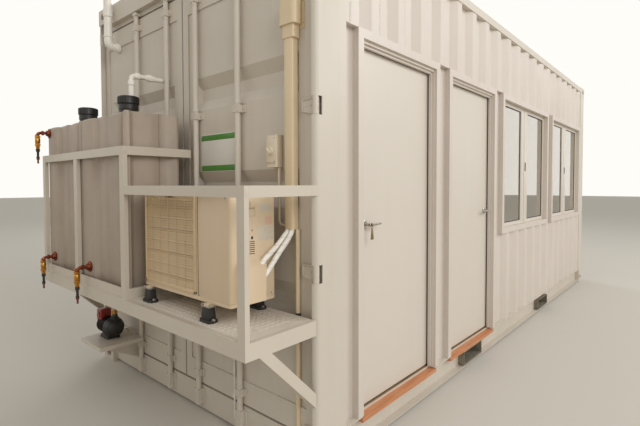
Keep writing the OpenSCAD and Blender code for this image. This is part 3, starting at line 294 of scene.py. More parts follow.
@dataclass(frozen=True)
class CastMetal(Finish):
    """Bare or plated metal: a clear highlight, broken by handling marks and tarnish."""

    tarnish: str = "#604020"
    tarnish_share: float = 0.4
    grain_mm: float = 12.0

    def make(self) -> bpy.types.Material:
        """Builds the metal with its tarnish and fine scratches.

        Returns:
            The material.
        """
        bench = Bench(self)
        bench.shader.inputs["Metallic"].default_value = 1.0
        patches = bench.cloud(self.grain_mm, 5.0)
        bench.tint(bench.ramp(patches, 0.42, 0.7, 0.0, self.tarnish_share),
                   self.colour, self.tarnish)
        bench.gloss(patches, 0.3, 0.75, self.roughness, self.roughness + 0.2)
        bench.bump(bench.cloud(2.5, 3.0), 0.06, 0.4)
        return bench.material


@dataclass(frozen=True)
class PlanedTimber(Finish):
    """Softwood planed and oiled: warm, dry, with grain along the board."""

    dark_grain: str = "#8A4A26"
    ring_mm: float = 11.0
    weathering: float = 0.25
    bleached: str = "#B49A82"

    def make(self) -> bpy.types.Material:
        """Builds the wood with long grain, darker rings and dry pores.

        Returns:
            The material.
        """
        bench = Bench(self)
        grain = bench.cloud(self.ring_mm, 6.0, (1.0, 22.0, 1.0))
        pores = bench.cloud(2.2, 3.0, (1.0, 30.0, 1.0))
        base = bench.blend(bench.ramp(grain, 0.4, 0.65, 0.0, 0.7), self.colour, self.dark_grain)
        bench.tint(bench.ramp(bench.cloud(160, 3.0), 0.45, 0.8, 0.0, self.weathering),
                   base, self.bleached)
        bench.bump(pores, 0.35, 0.6)
        return bench.material


@dataclass(frozen=True)
class FloatGlass(Finish):
    """Float glass with a thin metal coat against the sun: half a mirror, half clear."""

    coating: float = 0.62

    def make(self) -> bpy.types.Material:
        """Builds the glass with its dust.

        Returns:
            The material.
        """
        bench = Bench(self)
        for socket, value in (("Transmission Weight", 1.0), ("Metallic", self.coating),
                              ("IOR", 1.5)):
            bench.shader.inputs[socket].default_value = value
        bench.gloss(bench.cloud(120, 4.0), 0.45, 0.8, self.roughness, self.roughness + 0.05)
        return bench.material


@dataclass(frozen=True)
class WrappedTape(Finish):
    """Vinyl tape wound round a foam sleeve: overlapping turns with soft creases."""

    shade: str = "#DDD5C7"
    turn_mm: float = 34.0

    def make(self) -> bpy.types.Material:
        """Builds the tape with its creases and the edges of its turns, each edge painted darker as
        the shade where it laps the next turn.

        Returns:
            The material.
        """
        bench = Bench(self)
        # A band for each turn of tape, a little uneven as when wound by hand
        turns = add_node(
            bench.tree, "TexWave",
            {"bands_direction": "Z", "wave_profile": "SAW", "Scale": 314 / self.turn_mm,
             "Distortion": 1.6, "Detail": 1.0, "Detail Scale": 0.6},
            {"Vector": bench.place}).outputs[1]
        # Each turn's edge is painted darker, as the shade under the edge that laps it
        bench.tint(bench.ramp(turns, 0.0, 0.25, 0.8, 0.0), self.colour, self.shade)
        bench.bump(bench.combine("ADD", turns, bench.cloud(14, 3.0)), 1.2, 0.6)
        return bench.material


class Palette:
    """Every finish of the cabin, by the material slot or the small part it belongs to."""

    finishes: dict[str, Finish] = {
        "paint_side": SprayedEnamel("enamel_on_corrugated_steel", "#D6CCC2", 0.42),
        "paint_frame": SprayedEnamel("enamel_on_frame_steel", "#D2C9BC", 0.42),
        "paint_under": SprayedEnamel(
            "chassis_enamel_with_road_dirt", "#8A8272", 0.6, dust="#5E5546", runs=0.6,
            splash_top=0.4, splash=0.8),
        "paint_platform": SprayedEnamel("enamel_on_tube_steel", "#D0C6B7", 0.38, runs=0.08),
        "tread": SprayedEnamel(
            "enamel_on_tread_plate", "#E2D9CC", 0.36, cloudiness=0.3, runs=0.25),
        "leaf_paint": SprayedEnamel(
            "enamel_on_pressed_door_skin", "#D6CDC1", 0.36, cloudiness=0.08, runs=0.05),
        "unit_paint": SprayedEnamel(
            "powder_coat_on_thin_sheet", "#DCC6A8", 0.36, cloudiness=0.08, runs=0.08,
            splash_top=0.1, peel_mm=8.0),
        "floor_board": PlanedTimber("worn_birch_plywood", "#8B7350", 0.6, dark_grain="#6A5437"),
        "timber": PlanedTimber(
            "oiled_hardwood_threshold", "#CE8A5C", 0.5, dark_grain="#A9643A"),
        "handle_metal": CastMetal("satin_aluminium_casting", "#B9B6AF", 0.28, tarnish="#8F8A80"),
        "hinge_metal": CastMetal("zinc_plated_steel", "#B4B0A8", 0.34, tarnish="#7B6A58"),
        "brass": CastMetal("cast_brass_fitting", "#C08A3E", 0.25, tarnish="#7A4A1E"),
        "pump_iron": CastMetal("black_painted_cast_iron", "#2E2A27", 0.45, tarnish="#4A3F36"),
        "key_brass": CastMetal("worn_key_brass", "#93815F", 0.35, tarnish="#5E5038"),
        "copper": CastMetal(
            "tarnished_copper_fitting", "#8C4A34", 0.38, tarnish="#3E211A", tarnish_share=0.7),
        "chrome": CastMetal(
            "polished_chrome_plate", "#B9B4AA", 0.16, tarnish="#8A847A", tarnish_share=0.2),
        "glass": FloatGlass("solar_control_float_glass", "#F2EEE6", 0.01),
        "sleeve_wrap": WrappedTape("white_vinyl_tape_on_foam", "#F6F2E9", 0.42),
        "lining": MouldedPlastic("matt_white_wall_board", "#E4DED2", 0.7, shade="#D6CFC2"),
        "window_frame": MouldedPlastic(
            "powder_coated_aluminium_section", "#DBD2C6", 0.35, shade="#CFC6BA",
            grain_depth_mm=0.04),
        "tank_plastic": MouldedPlastic(
            "rotomoulded_polyethylene", "#B0A192", 0.48, shade="#9C8D7D", grain_mm=5.0,
            grain_depth_mm=0.25),
        "cap_plastic": MouldedPlastic(
            "black_polypropylene_closure", "#1D1B19", 0.42, shade="#2B2826", mottle_mm=50),
        "pipe_plastic": MouldedPlastic(
            "pressure_pvc_pipe", "#F2EEE5", 0.3, shade="#E4DDCF", grain_depth_mm=0.03),
        "unit_grille": MouldedPlastic("moulded_grille_guard", "#D2B993", 0.4, shade="#C4AB86"),
        "rubber": MouldedPlastic(
            "black_rubber_mount", "#1F1C1A", 0.6, shade="#302C28", mottle_mm=60),
        "cover_plastic": MouldedPlastic("moulded_line_duct", "#E2CEAC", 0.4, shade="#D8C39F"),
        "isolator_plastic": MouldedPlastic(
            "weatherproof_switch_moulding", "#E0D3BC", 0.35, shade="#D2C5AC",
            grain_depth_mm=0.05),
        # Black rubber for seals and hoses; the same black is painted shade in the unit's seam,
        # openings and coil
        "seal": MouldedPlastic("black_epdm_seal", "#262320", 0.7, shade="#37322D", mottle_mm=40),
        "painted_seal": MouldedPlastic(
            "epdm_seal_with_overspray", "#857A6A", 0.65, shade="#6E6455", mottle_mm=90),
        # The latch's finger recess, painted darker as the shade inside it
        "unit_recess": MouldedPlastic(
            "latch_recess_painted_shade", "#A08B68", 0.5, shade="#917D5C", mottle_mm=50),
        "label_pink": MouldedPlastic(
            "blank_pink_label", "#DDB9A4", 0.45, shade="#D3AE99", mottle_mm=9,
            grain_depth_mm=0.02),
        "label": MouldedPlastic(
            "blank_polyester_label", "#D3C8B6", 0.5, shade="#BDB09C", mottle_mm=9,
            grain_depth_mm=0.02),
        "sign_white": MouldedPlastic(
            "white_composite_sign_sheet", "#E2E0D8", 0.35, shade="#D6D3C9",
            grain_depth_mm=0.02),
        "sign_green": MouldedPlastic(
            "green_vinyl_band", "#4C8A36", 0.32, shade="#437C30", grain_depth_mm=0.02),
        "red_plastic": MouldedPlastic(
            "red_controller_moulding", "#8F2A20", 0.35, shade="#742019", mottle_mm=60),
    }
    # The slots that the finishes of small parts go under
    slots: dict[str, str] = {
        "seal": "rubber", "painted_seal": "rubber", "unit_recess": "unit_paint",
        "key_brass": "brass", "copper": "brass", "label": "pipe_plastic",
        "label_pink": "pipe_plastic", "sign_white": "pipe_plastic",
        "sign_green": "pipe_plastic", "red_plastic": "cap_plastic", "chrome": "handle_metal"}

    def __init__(self) -> None:
        """Builds every material once."""
        self.made = {slot: finish.make() for slot, finish in self.finishes.items()}

    def coat(self, piece: Piece, finish: str) -> None:
        """Gives a new piece a finish.

        Args:
            piece: The piece.
            finish: A material slot of the record, or a small part's finish.
        """
        piece.data.materials.clear()
        piece.data.materials.append(self.made[finish])

    def coat_frame(self, frame: dict) -> None:
        """Gives every CAD node the finish of the slot its record names.
        """
        for name, node in sorted(frame["nodes"].items()):
            for place in node.material_slots:
                slot = place.material.name.split(".")[0]
                if slot in self.made:
                    place.material = self.made[slot]
                else:
                    log.warning("%s has the unknown slot %s", name, slot)


# Modelling by hand, in code


class Kind(Enum):
    """What edit mode selects."""

    POINT = "VERT"
    EDGE = "EDGE"
    FACE = "FACE"


def hold(piece: Piece) -> None:
    """Selects one piece alone, because an operator acts on all that is selected."""
    bpy.ops.object.select_all(action="DESELECT")
    piece.select_set(True)
    bpy.context.view_layer.objects.active = piece


def settle(piece: Piece, name: str) -> Piece:
    """Names a piece and moves its place, turn and size into its mesh.

    Args:
        piece: The piece.
        name: Its name.

    Returns:
        The same piece, at the origin.
    """
    hold(piece)
    piece.name = name
    piece.data.name = name
    bpy.ops.object.transform_apply(location=True, rotation=True, scale=True)
    return piece


def start_block(name: str, low: Spot, high: Spot) -> Piece:
    """Starts a piece as a cube at its size and place.

    Args:
        name: The piece's name.
        low: Its lowest corner in millimetres.
        high: Its highest corner in millimetres.

    Returns:
        The new piece.
    """
    bpy.ops.object.select_all(action="DESELECT")
    near, far = spot(*low), spot(*high)
    bpy.ops.mesh.primitive_cube_add(size=1, location=(near + far) / 2)
    bpy.context.object.scale = far - near
    return settle(bpy.context.object, name)


def start_rod(name: str, start: Spot, end: Spot, radius: float, sides: int) -> Piece:
    """Starts a piece as a bar between two places.

    Args:
        name: The piece's name.
        start: The middle of its first end in millimetres.
        end: The middle of its other end.
        radius: Its radius in millimetres.
        sides: How many sides it has.

    Returns:
        The new piece.
    """
    bpy.ops.object.select_all(action="DESELECT")
    near, far = spot(*start), spot(*end)
    bpy.ops.mesh.primitive_cylinder_add(
        vertices=sides, radius=radius * MM, depth=(far - near).length,
        location=(near + far) / 2, rotation=(far - near).to_track_quat("Z", "Y").to_euler())
    return settle(bpy.context.object, name)


@contextmanager
def editing(piece: Piece) -> Iterator[None]:
    """Opens one piece in edit mode with nothing selected, and closes it again."""
    hold(piece)
    bpy.ops.object.mode_set(mode="EDIT")
    bpy.ops.mesh.select_all(action="DESELECT")
    yield
    bpy.ops.object.mode_set(mode="OBJECT")


def pick(piece: Piece, kind: Kind, wanted: Callable[..., bool]) -> None:
    """Selects the points, edges or faces that a test accepts.

    Args:
        piece: The piece, open in edit mode.
        kind: What is selected.
        wanted: The test, given a point's place, an edge's two ends, or a face's middle
            and its normal.
    """
    bpy.ops.mesh.select_mode(type=kind.value)
    bpy.ops.mesh.select_all(action="DESELECT")
    shape = bmesh.from_edit_mesh(piece.data)
    if kind is Kind.POINT:
        found = [point for point in shape.verts if wanted(point.co)]
    elif kind is Kind.EDGE:
        found = [edge for edge in shape.edges if wanted(*(end.co for end in edge.verts))]
    else:
        found = [face for face in shape.faces
                 if wanted(face.calc_center_median(), face.normal)]
    for each in found:
        each.select_set(True)
    shape.select_flush_mode()
    bmesh.update_edit_mesh(piece.data)


def nudge(x: float = 0.0, y: float = 0.0, z: float = 0.0) -> None:
    """Moves what is selected in edit mode by millimetres."""
    bpy.ops.transform.translate(value=(x * MM, y * MM, z * MM))


def pick_side(piece: Piece, way: Point) -> None:
    """Selects the faces of a piece, open in edit mode, that look one way."""
    pick(piece, Kind.FACE, lambda middle, normal: normal.dot(Vector(way)) > 0.9)


def step_side(piece: Piece, way: Point, inset: float, rise: float) -> Piece:
    """Insets the faces that look one way and raises them by millimetres.

    Args:
        piece: The piece.
        way: Where its faces look.
        inset: How wide the border round them is.
        rise: How far they come out; below zero they sink in.

    Returns:
        The same piece.
    """
    with editing(piece):
        pick_side(piece, way)
        bpy.ops.mesh.inset(thickness=inset * MM)
        nudge(*(rise * each for each in way))
    return piece


def taper_side(piece: Piece, way: Point, shares: Point, middle: Spot) -> Piece:
    """Shrinks the faces that look one way about a place in millimetres.

    Args:
        piece: The piece.
        way: Where its faces look.
        shares: What is left of their size along each axis.
        middle: The place.

    Returns:
        The same piece.
    """
    with editing(piece):
        pick_side(piece, way)
        bpy.ops.transform.resize(value=shares, center_override=spot(*middle))
    return piece


def cut_across(piece: Piece, axis: int, place: float) -> None:
    """Cuts new edges round a whole piece where one axis has a value.

    Args:
        piece: The piece, open in edit mode; not used.
        axis: 0, 1 or 2 for X, Y or Z.
        place: The value in metres.
    """
    bpy.ops.mesh.select_all(action="SELECT")
    middle, normal = Vector(), Vector()
    middle[axis] = place
    normal[axis] = 1.0
    bpy.ops.mesh.bisect(plane_co=middle, plane_no=normal)


def round_edges(
    piece: Piece, width: float, steps: int = 2, sharper_than: float = 35.0
) -> Piece:
    """Rounds every edge that is sharper than an angle.

    Args:
        piece: The piece.
        width: The rounding in millimetres.
        steps: How many faces it is made of.
        sharper_than: The angle in degrees.

    Returns:
        The same piece.
    """
    hold(piece)
    rounding = piece.modifiers.new("rounding", "BEVEL")
    rounding.width = width * MM
    rounding.segments = steps
    rounding.limit_method = "ANGLE"
    rounding.angle_limit = math.radians(sharper_than)
    bpy.ops.object.modifier_apply(modifier=rounding.name)
    return piece


def block(name: str, low: Spot, high: Spot, edge: float = 1.5) -> Piece:
    """Makes a block with rounded edges between two corners in millimetres."""
    return round_edges(start_block(name, low, high), edge)


def turn(
    name: str, foot: Spot, way: Point, outline: Sequence[tuple[float, float]], sides: int = 32
) -> Piece:
    """Makes a turned piece: a disc drawn out and widened ring by ring.

    Args:
        name: The piece's name.
        foot: The middle of its first ring in millimetres.
        way: The direction of its axis.
        outline: The distance from the foot and the radius of each ring, in millimetres.
        sides: How many sides it has.

    Returns:
        The new piece.
    """
    bpy.ops.object.select_all(action="DESELECT")
    bpy.ops.mesh.primitive_circle_add(
        vertices=sides, radius=outline[0][1] * MM, fill_type="NGON",
        location=(0, 0, outline[0][0] * MM))
    piece = settle(bpy.context.object, name)
    with editing(piece):
        bpy.ops.mesh.select_all(action="SELECT")
        for (here, wide), (there, next_wide) in zip(outline, outline[1:]):
            bpy.ops.mesh.extrude_region_move(
                TRANSFORM_OT_translate={"value": (0, 0, (there - here) * MM)})
            grow = next_wide / wide
            if abs(grow - 1) > 1e-6:
                bpy.ops.transform.resize(
                    value=(grow, grow, 1), center_override=(0, 0, there * MM))
        face_outwards()
    piece.rotation_euler = Vector(way).to_track_quat("Z", "Y").to_euler()
    piece.location = spot(*foot)
    return settle(piece, name)


def face_outwards() -> None:
    """Turns the faces of the piece that is open in edit mode outwards."""
    bpy.ops.mesh.select_all(action="SELECT")
    bpy.ops.mesh.normals_make_consistent(inside=False)


def sweep(
    name: str, route: Sequence[Spot], radius: float, smooth: bool = True, loop: bool = False
) -> Piece:
    """Makes a round tube or bar along a route.

    Args:
        name: The piece's name.
        route: The points it passes, in millimetres.
        radius: Its radius in millimetres.
        smooth: Whether it curves through the points or bends at them.
        loop: Whether its end joins its start.

    Returns:
        The new piece.
    """
    curve = bpy.data.curves.new(name, "CURVE")
    curve.dimensions = "3D"
    curve.bevel_depth = radius * MM
    curve.bevel_resolution = 3
    curve.resolution_u = 6
    curve.use_fill_caps = not loop
    line = curve.splines.new("BEZIER")
    line.bezier_points.add(len(route) - 1)
    line.use_cyclic_u = loop
    for point, place in zip(line.bezier_points, route):
        point.co = spot(*place)
        point.handle_left_type = point.handle_right_type = "AUTO" if smooth else "VECTOR"
    piece = bpy.data.objects.new(name, curve)
    bpy.context.collection.objects.link(piece)
    hold(piece)
    bpy.ops.object.convert(target="MESH")
    return settle(bpy.context.object, name)


def join(name: str, pieces: Sequence[Piece]) -> Piece:
    """Joins pieces of one finish into one.

    Args:
        name: The name of the joined piece.
        pieces: The pieces.

    Returns:
        The joined piece.
    """
    hold(pieces[0])
    for piece in pieces:
        piece.select_set(True)
    bpy.ops.object.join()
    return settle(bpy.context.object, name)


def copy(piece: Piece, name: str, shift: Spot = (0, 0, 0), mirrored: bool = False) -> Piece:
    """Copies a piece, with a mesh of its own, to another place.

    Args:
        piece: The piece that is copied.
        name: The copy's name.
        shift: How far the copy moves, in millimetres.
        mirrored: Whether it changes sides across the container.

    Returns:
        The copy.
    """
    hold(piece)
    bpy.ops.object.duplicate(linked=False)
    twin = bpy.context.object
    twin.location = Vector(shift) * MM
    if mirrored:
        twin.scale.x = -1
    settle(twin, name)
    if mirrored:
        with editing(twin):
            face_outwards()
    return twin


def repeat(piece: Piece, moves: Sequence[Spot]) -> Piece:
    """Joins a piece with a copy of it for each move in millimetres."""
    return join(piece.name, [piece] + [copy(piece, "again", move) for move in moves])


def turned_about(piece: Piece, middle: Spot, axis: str, degrees: float) -> Piece:
    """Turns a piece about an axis through a place in millimetres.

    Args:
        piece: The piece.
        middle: The place.
        axis: The axis's name.
        degrees: How far it turns.

    Returns:
        The same piece, at the origin.
    """
    centre = spot(*middle)
    turning = (Matrix.Translation(centre) @ Matrix.Rotation(math.radians(degrees), 4, axis)
               @ Matrix.Translation(-centre))
    piece.matrix_world = turning @ piece.matrix_world
    return settle(piece, piece.name)


def bolt(place: Spot, way: Point, radius: float, height: float) -> Piece:
    """Makes a hexagon bolt head on its washer."""
    washer = turn("washer", place, way, [(-1, radius * 1.35), (1.5, radius * 1.35)], 16)
    head = turn("bolt_head", place, way, [
        (0, radius), (height - 1, radius), (height, radius * 0.86)], 6)
    return join("bolt", [washer, head])


def screw(place: Spot, way: Point, radius: float) -> Piece:
    """Makes a low pan-head screw with its socket."""
    return turn("screw", place, way, [
        (-1, radius), (1.2, radius), (2.4, radius * 0.7), (2.4, radius * 0.35),
        (1.0, radius * 0.3)], 12)


@dataclass
class Assembly:
    """Pieces that share the palette."""

    palette: Palette

    def dress(
        self, piece: Piece, finish: str, smooth: float = 38.0, *stands_for: str,
        body: str = CABIN,
    ) -> None:
        """Smooths, paints and mounts a finished piece.

        Args:
            piece: The piece.
            finish: The finish from the palette.
            smooth: The angle in degrees up to which its faces shade as one.
            *stands_for: The CAD nodes that it replaces.
            body: The body that it rides on.
        """
        hold(piece)
        bpy.ops.object.shade_smooth_by_angle(angle=math.radians(smooth))
        self.palette.coat(piece, finish)
        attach(piece, body)
        if stands_for:
            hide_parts(*stands_for)
        log.info("%s: %d faces of %s", piece.name, len(piece.data.polygons), finish)

    def dress_copies(
        self, piece: Piece, copies: dict[str, Spot], finish: str, smooth: float = 38.0,
        *stands_for: str,
    ) -> None:
        """Dresses a piece and its copies at other places.

        Args:
            piece: The piece.
            copies: How far each copy moves, in millimetres, by its name.
            finish: The finish of all of them.
            smooth: The angle up to which their faces shade as one.
            *stands_for: The CAD nodes that they replace.
        """
        twins = [copy(piece, name, move) for name, move in copies.items()]
        for each in [piece] + twins:
            self.dress(each, finish, smooth, *stands_for)


@dataclass
class WaterTanks(Assembly):
    """Two rotomoulded tanks with upright flutes, their caps and their hanging valves."""

    left: float = -1191.0
    pitch: float = 654.0
    wide: float = 651.0
    front: float = -402.0
    deep: float = 345.0
    top: float = 1890.0
    rim: float = 10.0
    corner: float = 26.0
    front_flutes: tuple[float, ...] = (0.28, 0.56, 0.84)
    side_flutes: tuple[float, ...] = (0.13, 0.65)
    flute: tuple[Spot, ...] = (
        (-75, 0), (-42, 3), (-14, 7), (0, 16), (14, 7), (42, 3), (75, 0))
    valve: Point = (-1079.0, -481.0, 923.0)
    high_valve_move: Point = (-67.0, 0.0, 926.0)
    cap_ribs: int = 48
    cap_rib_depth: float = 3.0
    cap_rib_from: float = 64.0

    def build(self) -> None:
        """Builds both tanks, their caps and the three valves."""
        aside = (self.pitch, 0, 0)
        self.dress_copies(
            self.tank(), {"water_tank_right": aside}, "tank_plastic", 28, "water_tanks")
        self.dress_copies(self.cap(), {"tank_cap_right": aside}, "cap_plastic", 30, "tank_caps")
        for part, finish in ((self.valve_elbow(), "copper"), (self.valve_body(), "brass"),
                             (self.valve_hose(), "seal")):
            moves = {f"{part.name}_2": aside, f"{part.name}_3": self.high_valve_move}
            self.dress_copies(part, moves, finish, 38, "tank_valves")

    def press_flute(self, piece: Piece, axis: int, place: float) -> None:
        """Presses one upright flute into a tank's walls.

        Args:
            piece: The tank, open in edit mode.
            axis: 0 for a flute in the front, 1 for one in both sides.
            place: Where its valley runs, in millimetres along that axis.
        """
        low = spot(self.left, self.front, 0)
        high = spot(self.left + self.wide, self.front + self.deep, 0)
        across, near_wall = 1 - axis, 2.5 * self.rim * MM
        walls = [(low, 1), (high, -1)][:1 + axis]
        for offset, depth in self.flute:
            here = spot(place, place, 0)[axis] + offset * MM
            if not low[axis] + self.corner * MM < here < high[axis] - self.corner * MM:
                continue
            cut_across(piece, axis, here)
            for wall, inwards in walls if depth else ():
                pick(piece, Kind.POINT, lambda at: abs(at[axis] - here) < CLOSE
                     and abs(at[across] - wall[across]) < near_wall)
                nudge(**{"xy"[across]: inwards * depth})

    def tank(self) -> Piece:
        """Builds the left tank: a block with round corners, a rim and pressed flutes.

        Returns:
            The tank.
        """
        piece = start_block(
            "water_tank_left", (self.left, self.front, DECK_Z),
            (self.left + self.wide, self.front + self.deep, self.top - self.rim))
        with editing(piece):
            pick(piece, Kind.EDGE, lambda a, b: abs(a.z - b.z) > 0.5)
            bpy.ops.mesh.bevel(offset=self.corner * MM, segments=5)
        step_side(piece, UP, self.rim, self.rim)
        with editing(piece):
            for share in self.front_flutes:
                self.press_flute(piece, 0, self.left + share * self.wide)
            for share in self.side_flutes:
                self.press_flute(piece, 1, self.front + share * self.deep)
        return round_edges(piece, 5, 3, 40)

    def cap(self) -> Piece:
        """Builds the left screw cap: a banded neck ring under a ribbed lid.

        Returns:
            The cap.
        """
        foot = (self.left + self.wide / 2, self.front + self.deep / 2, self.top)
        ring = turn("cap_ring", foot, UP, [
            (-4, 56), (0, 61), (38, 61), (42, 57), (50, 57), (54, 61), (84, 61), (88, 58)],
            self.cap_ribs)
        lid = turn("tank_cap_left", foot, UP, [
            (86, 60), (91, 66), (130, 66), (136, 63), (139, 56), (135, 51), (135, 20)],
            self.cap_ribs)
        centre = spot(*foot)

        def is_rib(middle: Vector, normal: Vector) -> bool:
            """Says whether a face is every second one of the lid's outer wall."""
            out = middle.xy - centre.xy
            turned = math.degrees(math.atan2(out.y, out.x)) / (360 / self.cap_ribs)
            return (abs(normal.z) < 0.2 and out.length > self.cap_rib_from * MM
                    and int(round(turned - 0.5)) % 2 == 0)

        with editing(lid):
            pick(lid, Kind.FACE, is_rib)
            bpy.ops.mesh.extrude_region_shrink_fatten(
                TRANSFORM_OT_shrink_fatten={"value": -self.cap_rib_depth * MM})
        return join("tank_cap_left", [lid, ring])

    def valve_elbow(self) -> Piece:
        """Builds the first valve's copper gland, bent stub, union nut and tip.

        Returns:
            The fitting.
        """
        x, y, z = self.valve
        wall = self.front
        return join("valve_elbow_1", [
            turn("gland", (x, wall, z), FRONT, [
                (-2, 34), (5, 35), (8, 30), (9, 22), (22, 20), (24, 13)], 28),
            sweep("stub", [
                (x, wall - 8, z), (x, wall - 50, z), (x, wall - 68, z - 3), (x, y, z - 16),
                (x, y, z - 26)], 11),
            turn("nut", (x, wall - 38, z), FRONT, [(0, 15), (1, 17), (14, 17), (15, 15)], 6),
            turn("tip", (x, y, z - 186), DOWN, [
                (0, 8), (2, 10), (14, 10), (16, 6), (43, 6)], 16)])

    def valve_body(self) -> Piece:
        """Builds the first valve's brass body with its hexagons and its lever.

        Returns:
            The body.
        """
        x, y, z = self.valve
        return join("valve_body_1", [
            turn("upper_hexagon", self.valve, DOWN, [
                (20, 15), (22, 18.5), (38, 18.5), (40, 15)], 6),
            turn("barrel", self.valve, DOWN, [
                (38, 13), (44, 17), (72, 17), (78, 13), (80, 14)], 24),
            turn("lower_hexagon", self.valve, DOWN, [
                (78, 15), (80, 18.5), (98, 18.5), (101, 14), (122, 12)], 6),
            turn("stem", (x, y, z - 58), IN, [(10, 9), (24, 9), (26, 6), (31, 6)], 12),
            block("lever", (x - 33, y - 7, z - 66), (x - 29, y + 7, z - 8), 1.5)])

    def valve_hose(self) -> Piece:
        """Builds the short black hose that hangs from the first valve."""
        return turn("valve_hose_1", self.valve, DOWN, [
            (118, 9), (120, 13), (140, 13), (143, 8), (178, 8), (181, 11), (190, 11)], 20)


@dataclass
class OutdoorUnit(Assembly):
    """The outdoor unit's panels, guard, fan, service side and feet."""

    left: float = 198.0
    right: float = 998.0
    front: float = -338.0
    back: float = -62.0
    low: float = 890.0
    top: float = 1438.0
    corner: float = 15.0
    proud: float = 1.3
    panel_seam: tuple[float, float] = (-278.0, -272.5)
    grille_left: float = 222.0
    grille_right: float = 728.0
    grille_low: float = 914.0
    grille_top: float = 1414.0
    rim: float = 16.0
    louvre_pitch: float = 13.6
    rib_pitch: float = 61.2
    upright_pitch: float = 82.0
    fan_middle: Point = (475.0, -262.0, 1164.0)
    fan_radius: float = 215.0
    slot_pitch: float = 9.6
    foot_x: float = 270.0
    foot_y: float = -345.0
    foot_top: float = 876.0
    foot_waist: float = 832.0
    foot_spread: tuple[float, float] = (566.0, 305.0)

    def build(self) -> None:
        """Builds every part of the unit that the CAD frame leaves plain."""
        self.belt("unit_lid", 1.2, self.top - 22, self.top + 2)
        self.side_panels()
        self.belt("unit_base_pan", 1.0, self.low - 1, self.low + 16)
        self.grille()
        self.fan()
        self.fan_motor()
        self.dark_openings()
        self.latch()
        self.labels()
        self.screws()
        self.feet()

    def skin(
        self, name: str, low: Spot, high: Spot, edges: Sequence[tuple[float, float]]
    ) -> Piece:
        """Makes a block that stands just proud of the case and follows its round edges.

        Args:
            name: The piece's name.
            low: Its lowest corner.
            high: Its highest corner.
            edges: The X and Y of each upright edge that is rounded as the case is.

        Returns:
            The new piece.
        """
        piece = start_block(name, low, high)
        spots = [spot(x, y, 0) for x, y in edges]
        with editing(piece):
            pick(piece, Kind.EDGE, lambda a, b: abs(a.z - b.z) > 0.005 and any(
                (a.xy - each.xy).length < CLOSE for each in spots))
            bpy.ops.mesh.bevel(offset=(self.corner + 1) * MM, segments=6)
        return round_edges(piece, 0.8, 2, 60)

    def belt(self, name: str, proud: float, low: float, high: float) -> None:
        """Makes the lid that laps over the case, or the turned-up edge of its base pan.

        Args:
            name: The piece's name.
            proud: How far it stands out from the case.
            low: Its lower edge.
            high: Its upper edge.
        """
        x0, x1 = self.left - proud, self.right + proud
        y0, y1 = self.front - proud, self.back + proud
        self.dress(self.skin(name, (x0, y0, low), (x1, y1, high), [
            (x, y) for x in (x0, x1) for y in (y0, y1)]), "unit_paint", 50)

    def side_panels(self) -> None:
        """Makes the three panels that wrap the case's corners, with seams between them."""
        x0, x1 = self.left - self.proud, self.right + self.proud
        y0, y1 = self.front - self.proud, self.back + self.proud
        low, top = self.low + 17.5, self.top - 23.5
        front_end, side_start = self.panel_seam
        self.dress(join("unit_side_panels", [
            self.skin("side", (self.right - 60, side_start, low), (x1, y1, top), [(x1, y1)]),
            self.skin("front", (self.grille_right + 16, y0, low), (x1, front_end, top),
                      [(x1, y0)]),
            self.skin("left", (x0, y0, low), (self.grille_left - 6, y1, top),
                      [(x0, y0), (x0, y1)])]), "unit_paint", 50)

    def grille(self) -> None:
        """Builds the moulded guard: a rim, sloping louvres and a grid of thin ribs."""
        x0, x1, z0, z1 = self.grille_left, self.grille_right, self.grille_low, self.grille_top
        face, back, rim = self.front - 9, self.front, self.rim
        frame = round_edges(join("rim", [
            start_block("rim", (x0, face, z0), (x0 + rim, back, z1)),
            start_block("rim", (x1 - rim, face, z0), (x1, back, z1)),
            start_block("rim", (x0, face, z0), (x1, back, z0 + rim)),
            start_block("rim", (x0, face, z1 - rim), (x1, back, z1))]), 2.5, 2)
        # One louvre leans out over the one below, so that little shows between them
        louvre = start_block(
            "louvre", (x0 + 10, face + 2, z0 + 15), (x1 - 10, face + 4.4, z0 + 30))
        with editing(louvre):
            pick(louvre, Kind.POINT, lambda at: at.z > (z0 + 22) * MM)
            nudge(y=9)
        rows = int((z1 - z0 - 1.6 * rim) / self.louvre_pitch)
        rib = start_block("rib", (x0 + 12, face + 0.4, z0 + 61), (x1 - 12, face + 5, z0 + 64))
        upright = start_block(
            "upright", (x0 + 82, face + 1.4, z0 + 12), (x0 + 83.5, face + 4, z1 - 12))
        self.dress(join("unit_grille", [
            frame,
            repeat(louvre, [(0, 0, self.louvre_pitch * row) for row in range(1, rows)]),
            repeat(rib, [(0, 0, self.rib_pitch * row) for row in range(1, 7)]),
            repeat(upright, [(self.upright_pitch * row, 0, 0) for row in range(1, 5)]),
        ]), "unit_grille", 30, "ac_grille")

    def fan(self) -> None:
        """Builds the three-bladed fan behind the grille."""
        x, y, z = self.fan_middle
        middle = spot(x, y, z)
        hub = turn("fan_hub", (x, y + 30, z), FRONT, [
            (0, 58), (46, 58), (56, 44), (58, 12)], 32)
        blade = start_block("fan_blade", (x - 70, y - 3, z + 40),
                            (x + 70, y + 3, z + self.fan_radius))
        with editing(blade):
            for height in (90, 130, 170):
                cut_across(blade, 2, (z + height) * MM)
            pick(blade, Kind.POINT, lambda at: at.x > middle.x)
            nudge(y=-30)
            pick(blade, Kind.POINT, lambda at: at.x < middle.x)
            nudge(y=22)
            pick(blade, Kind.POINT, lambda at: at.z > middle.z + 0.16 and at.x < middle.x)
            nudge(x=-28, z=-18)
        round_edges(blade, 2, 1)
        blades = [blade, copy(blade, "fan_blade_2"), copy(blade, "fan_blade_3")]
        for number, each in enumerate(blades):
            turned_about(each, self.fan_middle, "Y", 120 * number)
        self.dress(join("unit_fan", [hub] + blades), "unit_grille", 50)

